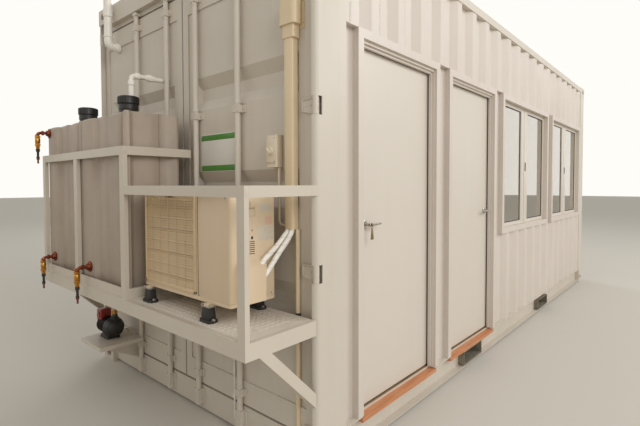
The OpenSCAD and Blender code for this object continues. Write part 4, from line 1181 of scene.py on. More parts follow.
    def fan_motor(self) -> None:
        """Makes the black fan motor and the coil wall behind it, whose black is painted as the
        shade inside the case.
        """
        x, y, z = self.fan_middle
        self.dress(join("unit_coil_and_motor", [
            turn("motor", (x, y + 30, z), BACK, [(0, 46), (6, 52), (70, 52), (78, 40)], 24),
            # The coil's black is painted shade for the dark inside of the case
            block("coil", (self.left + 20, -116, self.low + 24),
                  (self.right - 60, -84, self.top - 30), 3)]), "seal")

    def dark_openings(self) -> None:
        """Makes the seam beside the grille and the openings in the service side as flat black
        blocks, painted shade.
        """
        x0, x1 = self.right - 4, self.right + self.proud + 0.5
        # Black blocks stand in for the shade in the seam and in the openings
        self.dress(join("unit_openings_painted_shade", [
            block("seam", (self.grille_right + 11, self.front - 0.8, self.low + 20),
                  (self.grille_right + 15.5, self.front + 3, self.top - 24), 0.4),
            block("square_hole", (x0, -216, 1198), (x1, -204, 1212), 0.8),
            repeat(block("slot", (x0, -226, 1185), (x1, -194, 1189), 0.8),
                   [(0, 0, -self.slot_pitch * row) for row in range(1, 7)])]), "seal")

    def latch(self) -> None:
        """Makes the rounded latch over its finger recess in the service side, the recess painted
        darker as its shade.
        """
        x = self.right
        recess = start_block(
            "unit_latch_recess", (x - 4, -228, 1308), (x + self.proud + 1.5, -192, 1344))
        # The sunken recess is painted darker as its shade
        self.dress(round_edges(step_side(recess, OUT, 4, -5), 0.8, 2), "unit_recess")
        latch = start_block("unit_latch", (x - 2, -230, 1342), (x + 14, -190, 1378))
        taper_side(latch, OUT, (1, 0.62, 0.7), (x + 14, -210, 1366))
        self.dress(round_edges(latch, 5, 3, 20), "unit_paint")

    def labels(self) -> None:
        """Makes the three blank label plates on the service side."""
        x0, x1 = self.right - 1, self.right + self.proud + 0.6
        for number, finish, y0, z0, y1, z1 in (
                (1, "label", -161, 1329, -81, 1365), (2, "label_pink", -130, 1266, -85, 1304),
                (3, "label", -176, 1187, -76, 1256)):
            self.dress(block(f"unit_label_{number}", (x0, y0, z0), (x1, y1, z1), 0.3), finish)

    def screws(self) -> None:
        """Makes the screws of the panels and of the valve cover."""
        side, front = self.right + self.proud, self.front - self.proud
        heads = [screw((side, y, z), OUT, 4.5) for y, z in (
            (-210, 1240), (-91, 922), (-250, 1390), (-290, 1390), (-290, 930))]
        heads += [screw((x, front, z), FRONT, 4.5) for x, z in (
            (966, 1396), (752, 916), (207, 916))]
        self.dress(join("unit_screws", heads), "hinge_metal")

    def feet(self) -> None:
        """Builds the four rubber feet and their bolts."""
        x, y, low, top = self.foot_x, self.foot_y, DECK_Z, self.foot_top
        flange = start_block("flange", (x - 50, y - 28, low), (x + 50, y + 28, low + 14))
        with editing(flange):
            pick(flange, Kind.EDGE, lambda a, b: abs(a.z - b.z) > 0.005)
            bpy.ops.mesh.bevel(offset=22 * MM, segments=5)
        round_edges(flange, 2, 2, 50)
        post = start_block("post", (x - 30, y - 22, low + 12), (x + 30, y + 22, top))
        with editing(post):
            cut_across(post, 2, self.foot_waist * MM)
        taper_side(post, UP, (0.8, 0.86, 1), (x, y, top))
        round_edges(post, 3, 2)
        foot = join("rubber_foot_1", [flange, post])
        bolts = join("foot_bolts_1", [
            bolt((x - 40, y, low + 14), UP, 8, 7), bolt((x + 40, y, low + 14), UP, 8, 7),
            block("clamp", (x - 34, y - 20, top - 1), (x + 34, y + 24, top + 3), 1),
            block("clamp_ear", (x - 34, y - 20, top), (x - 28, y + 16, top + 13.5), 1),
            block("clamp_ear", (x + 28, y - 20, top), (x + 34, y + 16, top + 13.5), 1)])
        aside, behind = self.foot_spread
        moves = {2: (aside, 0, 0), 3: (0, behind, 0), 4: (aside, behind, 0)}
        self.dress_copies(foot, {f"rubber_foot_{number}": move for number, move in moves.items()},
                          "rubber", 40, "ac_feet")
        self.dress_copies(bolts, {f"foot_bolts_{number}": move for number, move in moves.items()},
                          "hinge_metal")


@dataclass
class LineWork(Assembly):
    """Pipes and boxes on the cargo door: wrapped pipes, duct, isolator, drain and white pipes."""

    duct_left: float = 1005.0
    duct_right: float = 1065.0
    duct_front: float = -4.0
    duct_low: float = 1232.0
    duct_top: float = 2190.0
    isolator_left: float = 872.0
    isolator_low: float = 1549.0
    isolator_high: float = 1717.0
    cap_screw: Point = (1100.0, 41.0, 2262.0)
    drain: tuple[float, float] = (1066.0, 31.0)
    drain_bands: tuple[float, ...] = (399.0, 790.0)
    thin_drain: tuple[float, float] = (529.0, 35.0)
    pipe_foot: float = 62.0
    overflow: Point = (-219.0, -205.0, 2173.0)
    vent: Point = (-940.0, -44.0, 2548.0)
    vent_top: float = 3042.0
    vent_coupling: float = 2770.0

    def build(self) -> None:
        """Builds the pipes, the duct's lid, the isolator's front and their screws."""
        self.wrapped_pipes()
        self.dress(round_edges(start_block(
            "duct_lid", (self.duct_left + 5, self.duct_front - 1.2, self.duct_low + 1),
            (self.duct_right - 5, self.duct_front + 4, self.duct_top - 1)), 1.0, 2),
            "cover_plastic")
        self.isolator_front()
        self.screws()
        self.overflow_run()
        self.vent_run()
        self.drains()

    def wrapped_pipes(self) -> None:
        """Builds the two taped pipes from the unit's valves up into the duct."""
        for number, bend_x, x, y, z in ((0, 16, 1017, -178, 1066), (1, 43, 1030, -160, 1020)):
            bend_x += self.duct_left
            self.dress(sweep(f"wrapped_pipe_{number + 1}", [
                (x, y, z), (x + 2, y + 26, z + 28), (bend_x - 4, -74, 1148 - 22 * number),
                (bend_x - 1, -22, 1196 - 14 * number), (bend_x, 8, 1228),
                (bend_x, 12, 1262)], 13.5), "sleeve_wrap", 50, "insulated_pipes")

    def overflow_run(self) -> None:
        """Builds the white pipe from the right tank's cap into the cargo door."""
        x, y, z = self.overflow
        self.dress(join("overflow_run", [
            sweep("bend", [
                (x, y, z - 176), (x, y, z - 60), (x, y, z - 26), (x, y + 7, z - 8),
                (x, y + 26, z), (x, y + 60, z), (x, PANEL_FACE + 1, z)], 15),
            turn("upright", (x, y, z - 176), UP, [(0, 17.5), (110, 17.5), (112, 16)], 28),
            turn("elbow_foot", (x, y, z - 66), UP, [(0, 18), (2, 21.5), (26, 21.5), (34, 17)], 28),
            turn("elbow_mouth", (x, y + 30, z), BACK, [(-8, 17), (0, 21), (22, 21), (24, 17)], 28),
            turn("sleeve", (x, y + 92, z), BACK, [(0, 17), (2, 19), (66, 19), (68, 17)], 24),
            turn("nut", (x, y + 110, z), BACK, [(0, 21), (2, 25), (22, 25), (24, 21)], 8),
            turn("flange", (x, PANEL_FACE - 14, z), BACK, [(0, 18), (2, 23), (14, 23)], 24),
        ]), "pipe_plastic", 38, "overflow_pipe")

    def vent_run(self) -> None:
        """Builds the white vent pipe that rises past the cargo door's top."""
        x, y, z = self.vent
        top = self.vent_top
        self.dress(join("vent_run", [
            sweep("bend", [
                (x, y, top - 1), (x, y, z + 70), (x, y, z + 34), (x, y + 10, z + 10),
                (x, y + 34, z), (x, PANEL_FACE + 1, z)], 30),
            turn("open_end", (x, y, top - 46), UP, [
                (0, 30), (2, 33), (45, 33), (46, 31.5), (46, 27), (20, 26.5), (20, 12)], 32),
            turn("rim", (x, y, z + 66), UP, [(0, 31), (2, 34), (14, 34), (16, 31)]),
            turn("coupling", (x, y, self.vent_coupling), UP, [
                (0, 31), (2, 34), (60, 34), (62, 31)]),
            turn("door_collar", (x, 12, z), BACK, [(0, 31), (3, 36), (30, 36)]),
        ]), "pipe_plastic", 38, "vent_pipe")

    def drains(self) -> None:
        """Makes the drain pipe's joints and foot, and the thin pipe on its clip."""
        x, y = self.drain
        self.dress(join("drain_bands", [
            turn("band", (x, y, z), UP, [(0, 12.6), (2, 13.8), (12, 13.8), (14, 12.6)], 24)
            for z in self.drain_bands]), "seal")
        self.dress(turn("drain_foot", (x, y, self.pipe_foot), UP, [
            (0, 9), (1, 12), (262, 12), (264, 13.6), (298, 13.6), (300, 12)], 24),
            "cover_plastic")
        x, y = self.thin_drain
        self.dress(join("thin_drain", [
            turn("pipe", (x, y, self.pipe_foot), UP, [(0, 4.5), (1, 6), (663, 6)], 16),
            block("clip", (x - 10, y - 8, 194), (x + 10, PANEL_FACE + 1, 210), 2)]),
            "pipe_plastic")

    def isolator_front(self) -> None:
        """Makes the isolator's lid and the ridge of its rotary switch, turned off true."""
        x0, x1 = self.isolator_left + 3, self.isolator_left + 72
        x, y, z = middle = (
            (x0 + x1) / 2, self.duct_front - 22, (self.isolator_low + self.isolator_high) / 2)
        lid = start_block("lid", (x0, self.duct_front - 5, self.isolator_low + 22),
                          (x1, self.duct_front + 2, self.isolator_high - 8))
        ridge = round_edges(
            start_block("ridge", (x - 19, y - 5, z - 5), (x + 19, y + 4, z + 5)), 2.5, 3)
        self.dress(join("isolator_front", [
            round_edges(step_side(lid, FRONT, 6, 1.5), 2, 2),
            turned_about(ridge, middle, "Y", 38)]), "isolator_plastic")

    def screws(self) -> None:
        """Makes the screws of the isolator and of the duct's wall cap."""
        places = [(x, self.duct_front - 5.5, z) for x in (881, 938) for z in (1578, 1702)]
        x, y, z = self.cap_screw
        places += [(x, y, z), (x, y, z + 110)]
        self.dress(join("line_screws", [screw(place, FRONT, 3.5) for place in places]),
                   "hinge_metal")


@dataclass
class CargoEnd(Assembly):
    """Seals, hinge ribs, bolts and the blank sign plate of the cargo doors."""

    leaf_edge: float = 1176.0
    leaf_low: float = 181.0
    leaf_top: float = 2694.0
    seal_gap: float = 14.0
    bar_xs: tuple[float, ...] = (-600.0, -175.0, 175.0, 600.0)
    hinge_zs: tuple[float, ...] = (200.0, 1020.0, 1840.0, 2660.0)
    pin: tuple[float, float] = (1203.0, 17.0)
    post_feet: tuple[float, float] = (178.5, 5877.0)
    guides: tuple[tuple[float, float], ...] = (
        (71, 28), (252, 28), (709, 36), (1891, 36), (2623, 28), (2712, 28))
    collar_zs: tuple[float, ...] = (286.0, 674.0, 1926.0, 2588.0)
    sign: tuple[float, ...] = (197.0, 572.0, 1540.0, 1770.0)

    def build(self) -> None:
        """Builds the small parts of the cargo doors."""
        self.seals()
        self.post_foot_plates()
        ribs = self.hinge_ribs()
        self.dress(copy(ribs, "hinge_ribs_left", mirrored=True), "paint_frame")
        self.dress(ribs, "paint_frame")
        self.guide_bolts()
        self.sign_plate()

    def seals(self) -> None:
        """Makes the rubber lips in the gaps round and between the cargo doors."""
        gap, y0, y1 = self.seal_gap, 43.0, 82.0
        low, top, edge = self.leaf_low, self.leaf_top, self.leaf_edge
        side = block("side", (edge - 0.5, y0, low), (edge + gap, y1, top), 3)
        self.dress(join("cargo_door_seals", [
            side, copy(side, "left", mirrored=True),
            block("middle", (-7.5, y0, low), (7.5, y1, top), 3)] + [
            block("level", (-edge - gap, y0, z), (edge + gap, y1, z + gap + 0.5), 3)
            for z in (low - gap, top - 0.5)]), "painted_seal")

    def hinge_ribs(self) -> Piece:
        """Makes each hinge's tapered blade with its ribs, knuckles, pin ends and bolts.

        Returns:
            The four hinges of the right door.
        """
        z = self.hinge_zs[0]
        x, y = self.pin
        plate = start_block("blade", (1103, 27, z - 42), (1186, 36.5, z + 40))
        with editing(plate):
            pick(plate, Kind.POINT, lambda at: at.x < 1.11 and at.z < z * MM)
            nudge(z=20)
        parts = [round_edges(plate, 2, 2)]
        tip_low, tip_high = (1107, 26, z - 19), (1107, 26, z + 36)
        for start, end in (((1187, 25, z - 38), tip_low), ((1187, 25, z + 38), tip_high),
                           (tip_low, tip_high)):
            parts.append(round_edges(start_rod("rib", start, end, 4.5, 10), 1.5, 2))
        parts += [turn("pin_end", (x, y, z + side * 44.5), (0, 0, side), [
            (0, 10), (3, 10), (5, 7)], 16) for side in (-1, 1)]
        parts += [turn("knuckle", (x, y, z + foot), UP, [
            (0, 14), (1.5, 15.6), (24.5, 15.6), (26, 14)], 24) for foot in (-44, -13, 18)]
        parts += [bolt((place, 27, z + 5), FRONT, 6, 4) for place in (1132, 1160)]
        return repeat(join("hinge_ribs_right", parts),
                      [(0, 0, other - z) for other in self.hinge_zs[1:]])

    def post_foot_plates(self) -> None:
        """Makes the plates that close the corner posts above the low castings."""
        y, far = self.post_feet
        near = block("post_foot", (1168, y, 117), (1216.5, y + 2.5, 176), 0.6)
        pair = [near, copy(near, "post_foot", (0, far - y, 0))]
        twins = [copy(plate, "post_foot", mirrored=True) for plate in pair]
        self.dress(join("post_foot_plates", pair + twins), "paint_frame")

    def guide_bolts(self) -> None:
        """Makes the bolts of the locking bars' guides and the collars on the bars."""
        x = self.bar_xs[0]
        parts = [bolt((x + side * 33, back, z), FRONT, 6, 4)
                 for z, back in self.guides for side in (-1, 1)]
        parts += [turn("bar_collar", (x, 18, z), UP, [(-6, 17), (-5, 20), (5, 20), (6, 17)], 24)
                  for z in self.collar_zs]
        self.dress(repeat(join("bar_bolts", parts), [
            (other - x, 0, 0) for other in self.bar_xs[1:]]), "paint_frame")

    def sign_plate(self) -> None:
        """Builds the blank sign plate with a green band along its top and its foot."""
        (x0, x1, z0, z1), y = self.sign, PANEL_FACE
        wide, high = x1 - x0 - 20, z0 - z1 + 20
        self.dress(block("sign_plate", (x0, y - 3, z0), (x1, y + 1, z1), 0.8), "sign_white")
        self.dress_copies(
            block("sign_band_low", (x0 + 4, y - 3.6, z0 + 4), (x1 - 4, y - 2, z0 + 38), 0.4),
            {"sign_band_top": (0, 0, z1 - z0 - 42)}, "sign_green")
        rivets = repeat(screw((x0 + 10, y - 3.4, z1 - 10), FRONT, 3), [
            (wide, 0, 0), (0, 0, high), (wide, 0, high)])
        self.dress(settle(rivets, "sign_rivets"), "hinge_metal")


@dataclass
class PierPlates(Assembly):
    """The thin plates that close the wall's ridges above the flat piers."""

    valley_x: float = 1176.5
    crest_x: float = 1212.4
    top: float = 2300.0
    piers: tuple[tuple[float, float], ...] = ((235.0, 342.0), (1292.0, 1445.0), (2395.0, 2557.0))

    def build(self) -> None:
        """Builds the plates."""
        self.dress(join("pier_plates", [
            block("plate", (self.valley_x, y0, self.top - 3), (self.crest_x, y1, self.top), 0.5)
            for y0, y1 in self.piers]), "paint_side")


@dataclass
class Platform(Assembly):
    """The tread plate's raised lozenges, and the frame's welds, plugs and bolts."""

    left: float = -1180.0
    right: float = 1180.0
    front: float = -394.0
    back: float = -14.0
    lozenge_pitch: float = 34.0
    low_rail: float = 1404.0
    high_rail: float = 1630.0
    brace_z: float = 727.0
    posts: tuple[tuple[float, float], ...] = (
        (-1219.0, -1169.0), (-598.0, -548.0), (92.0, 142.0), (1169.0, 1219.0))

    def build(self) -> None:
        """Builds the lozenges and the small parts of the frame."""
        self.lozenges()
        self.welds()
        self.tube_plugs()
        brace_bolt = bolt((1219 - 25, -330, self.brace_z), DOWN, 8, 6)
        pair = [brace_bolt, copy(brace_bolt, "brace_bolt", mirrored=True)]
        self.dress(join("brace_bolts", pair), "paint_platform")

    def lozenges(self) -> None:
        """Rolls the raised lozenges over the tread plate, each turned across its neighbour."""
        step = self.lozenge_pitch
        x, y, z = self.left + 8, self.front + 8, DECK_Z
        along = start_block("lozenge", (x - 13, y - 4, z - 0.3), (x + 13, y + 4, z + 1.4))
        taper_side(along, UP, (0.72, 0.35, 1), (x, y, z))
        across = turned_about(copy(along, "across", (step / 2, step / 2, 0)),
                              (x + step / 2, y + step / 2, z), "Z", 90)
        piece = join("tread_lozenges", [along, across])
        for axis, length in ((0, self.right - self.left), (1, self.back - self.front)):
            rows = piece.modifiers.new("rows", "ARRAY")
            rows.use_relative_offset = False
            rows.use_constant_offset = True
            rows.constant_offset_displace = [step * MM if each == axis else 0 for each in range(3)]
            rows.count = int((length - 16) / step)
            bpy.ops.object.modifier_apply(modifier=rows.name)
        self.dress(piece, "tread", 30)

    def tube_plugs(self) -> None:
        """Makes the welded plates in the rails' open ends."""
        low, high, brace = self.low_rail, self.high_rail, self.brace_z
        self.dress(join("tube_plugs", [
            block("plug", (x, -429.6, z + 0.5), (x + 2.2, -405.4, z + 49.5), 0.5)
            for x, z in ((-1218.6, high), (139.4, high), (1216.4, low), (-1218.6, brace),
                         (1216.4, brace))]), "paint_platform")

    def welds(self) -> None:
        """Lays the weld beads round the feet and heads of the posts."""
        tops = (self.high_rail,) * 3 + (self.low_rail,)
        self.dress(join("post_welds", [
            sweep("weld", [(x0 + 3, -428, z), (x1 - 3, -428, z), (x1 - 3, -407, z),
                           (x0 + 3, -407, z)], 1.8, smooth=False, loop=True)
            for (x0, x1), top in zip(self.posts, tops) for z in (DECK_Z, top)]),
            "paint_platform", 60)


@dataclass
class PumpSet(Assembly):
    """The pressure pump on its shelf: finned motor, volute, controller and brass riser."""

    middle: Point = (-735.0, -150.0, 405.0)
    shelf_z: float = 320.0
    fins: int = 9

    def build(self) -> None:
        """Builds the pump in the place of its plain solid."""
        x, y, z = self.middle
        self.dress(join("pump_motor", [self.barrel(), self.foot()]), "pump_iron", 30, "pump")
        self.dress(join("pump_volute", [
            turn("dome", (x + 36, y, z), OUT, [
                (0, 60), (4, 73), (16, 74), (20, 70), (40, 69), (54, 62), (66, 46), (72, 30),
                (74, 12)], 40),
            turn("collar", (x + 76, y, z + 40), UP, [
                (0, 24), (24, 24), (28, 27), (38, 27), (42, 20), (60, 18)], 24)]),
            "cap_plastic", 40, "pump")
        self.controller()
        self.dress(join("pump_riser", [
            turn("riser", (x + 76, y, z + 96), UP, [
                (0, 13), (30, 13), (31, 11), (84, 11), (86, 14), (100, 14), (101, 9)], 20),
            turn("union", (x + 76, y, z + 104), UP, [(0, 18), (2, 20), (18, 20), (20, 17)], 6)]),
            "brass", 35, "pump")

    def barrel(self) -> Piece:
        """Builds the motor's finned barrel."""
        x, y, z = self.middle
        fins: list[tuple[float, float]] = [(0, 40), (4, 56)]
        for place in range(10, 10 + 14 * self.fins, 14):
            fins += [(place, 55), (place + 1, 62), (place + 6, 62), (place + 7, 55)]
        return turn("barrel", (x - 110, y, z), OUT, fins + [(146, 55), (150, 50)], 28)

    def foot(self) -> Piece:
        """Builds the motor's tapered foot."""
        x, y, low = self.middle[0], self.middle[1], self.shelf_z
        foot = start_block("foot", (x - 80, y - 50, low), (x + 60, y + 50, low + 40))
        taper_side(foot, UP, (0.8, 0.55, 1), (x - 10, y, low + 40))
        return round_edges(foot, 4, 2)

    def controller(self) -> None:
        """Makes the red pressure controller beside the motor, with its dial and lid."""
        x, y, z = self.middle[0] - 34, self.middle[1], self.middle[2] - 18
        body = start_block("body", (x - 96, y - 46, z + 44), (x - 22, y + 30, z + 128))
        dial = turn("dial", (x - 60, y - 44, z + 88), FRONT, [
            (0, 24), (6, 24), (8, 20), (7, 16), (7, 4)], 28)
        self.dress(join("pump_controller", [
            round_edges(step_side(body, UP, 8, 6), 9, 3, 30), dial]), "red_plastic", 40, "pump")


class Hand(Enum):
    """Which way a door's lever points along the container."""

    TO_FAR_END = 1
    TO_DOOR_END = -1


@dataclass
class PassageDoor(Assembly):
    """One door in the long wall: its levers, keys, seals and hinge screws."""

    number: int = 1
    surround_y: float = 342.0
    hand: Hand = Hand.TO_FAR_END
    has_key: bool = False
    leaf_in: float = 1116.0
    leaf_out: float = 1156.0
    leaf_wide: float = 820.0
    leaf_top: float = 2227.0
    seal_low: float = 165.0
    lever_z: float = 1230.0
    edge_to_lever: float = 68.0
    hinge_zs: tuple[float, ...] = (367.0, 1157.0, 1947.0)

    def build(self) -> None:
        """Builds the door's small parts, each on the body that it moves with."""
        number, door, handle = self.number, f"door_{self.number}", f"handle_{self.number}"
        self.dress(self.levers(), "chrome", 38, f"lever_{number}", body=handle)
        if self.has_key:
            self.dress(self.key(), "key_brass", body=handle)
            self.dress(self.key_tag(), "key_brass", body=handle)
        self.dress(self.roses(), "chrome", 38, f"door_rose_{number}", body=door)
        self.dress(self.lock_edge(), "hinge_metal", body=door)
        self.dress(self.frame_seal(), "seal")
        self.dress(self.hinge_screws(), "hinge_metal")

    @property
    def leaf_y0(self) -> float:
        """The leaf's edge nearest the door end."""
        return self.surround_y + 65

    @property
    def lever_y(self) -> float:
        """The middle of the lever's spindle."""
        if self.hand is Hand.TO_FAR_END:
            return self.leaf_y0 + self.edge_to_lever
        return self.leaf_y0 + self.leaf_wide - self.edge_to_lever

    def grip(self, x: float) -> Piece:
        """Forges one tapered grip that bends from its neck.

        Args:
            x: The middle of its thickness.

        Returns:
            The grip.
        """
        way, y, z = self.hand.value, self.lever_y, self.lever_z
        ends = sorted((y - way * 9, y + way * 112))
        grip = start_block("grip", (x - 9, ends[0], z - 9), (x + 9, ends[1], z + 9))
        with editing(grip):
            for share in (16, 44, 80):
                cut_across(grip, 1, spot(x, y + way * share, z).y)
            for reach, thin, tall in ((44, 0.72, 0.84), (80, 0.58, 0.74), (112, 0.5, 0.62)):
                here = spot(x, y + way * reach, z)
                pick(grip, Kind.POINT, lambda at: abs(at.y - here.y) < CLOSE)
                bpy.ops.transform.resize(value=(thin, 1, tall), center_override=here)
            nudge(z=1.5)
        return round_edges(grip, 3.4, 3, 20)

    def levers(self) -> Piece:
        """Builds the levers of both sides and the spindle between them.

        Returns:
            The joined levers.
        """
        x0, x1, y, z = self.leaf_in, self.leaf_out, self.lever_y, self.lever_z
        neck = [(0.5, 9.9), (12, 9.9), (16, 8.6), (34, 8.4), (40, 9.6), (51, 9.6), (53.5, 7.6)]
        spindle = start_rod("spindle", (x0 - 20, y, z), (x1 + 20, y, z), 4.8, 8)
        return join(f"lever_{self.number}_handles", [
            turn("outer_neck", (x1, y, z), OUT, neck, 24),
            turn("inner_neck", (x0, y, z), IN, neck, 24),
            round_edges(spindle, 0.6), self.grip(x1 + 44), self.grip(x0 - 44)])

    def key(self) -> Piece:
        """Makes the key in the lever's cylinder and the ring through its bow.

        Returns:
            The key with its ring.
        """
        x, y, z = self.leaf_out + 53, self.lever_y, self.lever_z
        turns = [math.tau * each / 8 for each in range(8)]
        return join(f"key_{self.number}", [
            block("bow", (x - 3, y - 1.4, z - 10), (x + 9, y + 1.4, z + 10), 1.2),
            sweep("ring", [(x + 5, y + 8 * math.sin(each), z - 12 + 9 * math.cos(each))
                           for each in turns], 1.1, loop=True)])

    def key_tag(self) -> Piece:
        """Makes the tag that hangs from the key's ring."""
        x, y, z = self.leaf_out + 53, self.lever_y, self.lever_z - 20
        tag = start_block("tag", (x + 2.5, y - 13, z - 62), (x + 7.5, y + 13, z))
        return round_edges(taper_side(tag, UP, (1, 0.4, 1), (x + 5, y, z)), 1.2, 2)

    def roses(self) -> Piece:
        """Turns the round roses of both sides, with the hole that the neck turns in."""
        return join(f"rose_{self.number}_pair", [
            turn("rose", (face, self.lever_y, self.lever_z), way, [
                (0, 25), (1, 26), (5, 26), (7.5, 23), (8, 20), (8, 10.8), (0.2, 10.8)], 40)
            for face, way in ((self.leaf_out, OUT), (self.leaf_in, IN))])

    def lock_edge(self) -> Piece:
        """Makes the lock's edge plate in the leaf's edge.

        Returns:
            The plate.
        """
        way = self.hand.value
        edge = self.lever_y - way * self.edge_to_lever
        low, high = sorted((edge - way * 0.8, edge + way * 2))
        middle, z = (self.leaf_in + self.leaf_out) / 2, self.lever_z
        return block(f"lock_plate_{self.number}", (middle - 11, low, z - 110),
                     (middle + 11, high, z + 60), 0.4)

    def frame_seal(self) -> Piece:
        """Lays the rubber seal on the stop round the leaf.

        Returns:
            The seal's three sides.
        """
        x0, x1 = self.leaf_out + 5.2, self.leaf_out + 11
        y0, y1 = self.leaf_y0 + 6.2, self.leaf_y0 + self.leaf_wide - 6.2
        low, top = self.seal_low, self.leaf_top - 6.2
        return join(f"door_{self.number}_seal", [
            block("side", (x0, y0, low), (x1, y0 + 3, top), 0.8),
            block("side", (x0, y1 - 3, low), (x1, y1, top), 0.8),
            block("top", (x0, y0, top - 3), (x1, y1, top), 0.8)])

    def hinge_screws(self) -> Piece:
        """Makes the screws of the three hinges' fixed plates."""
        way = self.hand.value
        y = self.leaf_y0 + (self.leaf_wide + 3 if way > 0 else -3) + way * 8
        return join(f"hinge_screws_{self.number}", [
            screw((self.leaf_in - 2, y, z + height), IN, 3)
            for z in self.hinge_zs for height in (18, 50, 82)])


@dataclass
class SlidingWindow(Assembly):
    """One window in the long wall: glazing seals, the sliding leaf's rail and its latch."""

    number: int = 1
    surround_y: float = 2557.0
    light_wide: float = 581.5
    stile: float = 215.0
    frame_wide: float = 86.0
    low: float = 1086.0
    top: float = 2214.0
    glass_out: float = 1161.0
    sash_out: float = 1172.0

    def build(self) -> None:
        """Builds the window's small parts."""
        start = self.surround_y + self.frame_wide
        seals = [strip for light in (0, 1)
                 for strip in self.glazing_seal(start + light * (self.light_wide + self.stile))]
        self.dress(join(f"window_{self.number}_seals", seals), "seal")
        self.meeting_rail(start + self.light_wide)
        x, y = self.sash_out + 6, start + self.light_wide
        pull = start_block(
            f"window_{self.number}_latch", (x - 1, y + 112, 1600), (x + 4, y + 132, 1690))
        self.dress(round_edges(step_side(pull, OUT, 4, -3), 1, 2), "seal")

    def glazing_seal(self, y: float) -> list[Piece]:
        """Makes the four strips of one light's glazing seal.

        Args:
            y: The light's edge nearest the door end.

        Returns:
            The strips.
        """
        x0, x1, end, low, top = (
            self.glass_out - 1, self.glass_out + 3, y + self.light_wide, self.low, self.top)
        return [
            block("upright", (x0, y - 0.5, low), (x1, y + 8, top), 1),
            block("upright", (x0, end - 8, low), (x1, end + 0.5, top), 1),
            block("rail", (x0, y, low - 0.5), (x1, end, low + 8), 1),
            block("rail", (x0, y, top - 8), (x1, end, top + 0.5), 1)]

    def meeting_rail(self, y: float) -> None:
        """Makes the stiles of the fixed and the sliding leaf, one proud of the other.

        Args:
            y: Where the stiles start.
        """
        x, low, top = self.sash_out, self.low, self.top
        track = block("track", (x - 4, self.surround_y + 52, low - 30),
                      (x + 5, self.surround_y + 1498, low - 22), 1.5)
        self.dress(join(f"window_{self.number}_rails", [
            block("fixed_stile", (x - 4, y + 18, low - 18), (x + 3, y + 84, top + 18), 1.5),
            block("sliding_stile", (x - 4, y + 88, low - 18), (x + 6, y + 172, top + 18), 2),
            track, copy(track, "head", (0, 0, top - low + 52))]), "window_frame")


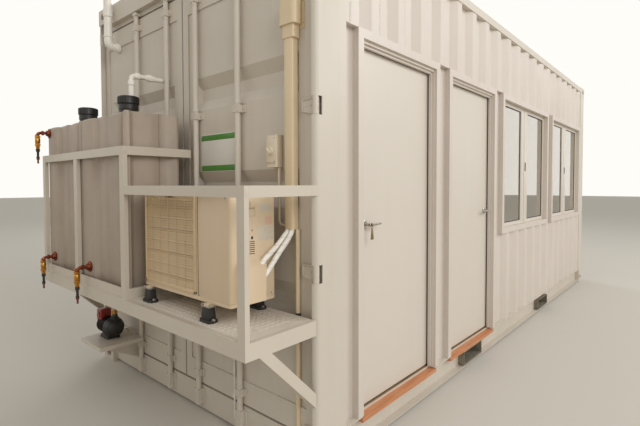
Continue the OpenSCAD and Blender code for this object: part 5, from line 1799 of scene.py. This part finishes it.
@dataclass
class Studio:
    """The photograph's camera, a pale floor and soft light from the door side."""

    eye: Point = (2.6236, -4.3171, 1.4550)
    yaw: float = 40.668
    pitch: float = -1.806
    roll: float = 0.106
    lens_mm: float = 24.506
    centre_px: tuple[float, float] = (9.019, -14.154)
    floor_size: float = 120.0
    floor_colour: str = "#CDC8BE"
    sky_colour: str = "#FFFDF8"
    sky_strength: float = 0.55

    def build(self) -> None:
        """Sets up the view, the camera, the floor and the lights."""
        bpy.context.scene.view_settings.view_transform = "Standard"
        self.camera()
        self.floor()
        self.sky()
        self.lamp("side_light", (9.5, 5.5, 7.0), (0.8, 0.0, 1.2), 5.0, 440.0)
        self.lamp("side_fill", (10.0, -5.0, 6.0), (0.5, -2.0, 1.2), 5.0, 360.0)
        self.lamp("back_light", (-10.0, 8.0, 7.0), (0.0, 0.5, 1.3), 5.0, 300.0)
        self.lamp("end_light", (-3.0, -10.0, 5.0), (0.0, -2.5, 1.4), 6.0, 35.0, "#FFF0DC")
        log.info("studio ready")

    def camera(self) -> None:
        """Places the camera as it stood for the photograph."""
        bpy.ops.object.camera_add(location=self.eye)
        camera = bpy.context.object
        camera.rotation_euler = [
            math.radians(each) for each in (90 + self.pitch, self.roll, self.yaw)]
        camera.data.lens = self.lens_mm
        camera.data.sensor_width = 36.0
        camera.data.shift_x = -self.centre_px[0] / PHOTO_WIDE
        camera.data.shift_y = self.centre_px[1] / PHOTO_WIDE
        bpy.context.scene.camera = camera

    def floor(self) -> None:
        """Lays the pale floor that keeps the object's shadow."""
        bpy.ops.mesh.primitive_plane_add(size=self.floor_size, location=(0, 0, 0))
        floor = bpy.context.object
        floor.name = "studio_floor"
        material = bpy.data.materials.new("matt_pale_floor")
        material.use_nodes = True
        shader = material.node_tree.nodes["Principled BSDF"]
        shader.inputs["Base Color"].default_value = linear(self.floor_colour)
        shader.inputs["Roughness"].default_value = 0.9
        floor.data.materials.append(material)

    def sky(self) -> None:
        """Makes an even overcast sky that shows white behind the object."""
        world = bpy.data.worlds.new("overcast")
        bpy.context.scene.world = world
        world.use_nodes = True
        tree = world.node_tree
        rays = add_node(tree, "LightPath").outputs
        seen = rays["Is Camera Ray"]
        for kind in ("Is Glossy Ray", "Is Transmission Ray"):
            seen = add_node(
                tree, "Math", {"operation": "MAXIMUM"}, {0: seen, 1: rays[kind]}).outputs[0]
        strength = add_node(
            tree, "MapRange", {1: 0.0, 2: 1.0, 3: self.sky_strength, 4: 1.0}, {0: seen})
        background = tree.nodes["Background"]
        background.inputs["Color"].default_value = linear(self.sky_colour)
        tree.links.new(strength.outputs[0], background.inputs["Strength"])

    def lamp(
        self, name: str, place: Point, aim: Point, size: float, watts: float,
        colour: str = "#FFFFFF",
    ) -> None:
        """Hangs one soft square lamp.

        Args:
            name: The lamp's name.
            place: Where it hangs.
            aim: The point it faces.
            size: Its side.
            watts: Its power.
            colour: Its colour as hex.
        """
        bpy.ops.object.light_add(type="AREA", location=place)
        lamp = bpy.context.object
        lamp.name = name
        lamp.data.size = size
        lamp.data.energy = watts
        lamp.data.color = linear(colour)[:3]
        lamp.rotation_euler = (Vector(aim) - Vector(place)).to_track_quat("-Z", "Y").to_euler()


def main() -> None:
    """Loads the frame, builds and dresses every sub-assembly."""
    logging.basicConfig(level=logging.INFO, format="%(name)s: %(message)s")
    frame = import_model()
    palette = Palette()
    palette.coat_frame(frame)
    Studio().build()
    for assembly in (
        CargoEnd(palette),
        PierPlates(palette),
        Platform(palette),
        WaterTanks(palette),
        PumpSet(palette),
        OutdoorUnit(palette),
        LineWork(palette),
        PassageDoor(palette, has_key=True),
        PassageDoor(palette, number=2, surround_y=1445.0, hand=Hand.TO_DOOR_END),
        SlidingWindow(palette),
        SlidingWindow(palette, number=2, surround_y=4273.0),
    ):
        log.info("building %s", type(assembly).__name__)
        assembly.build()


if __name__ == "__main__":
    main()
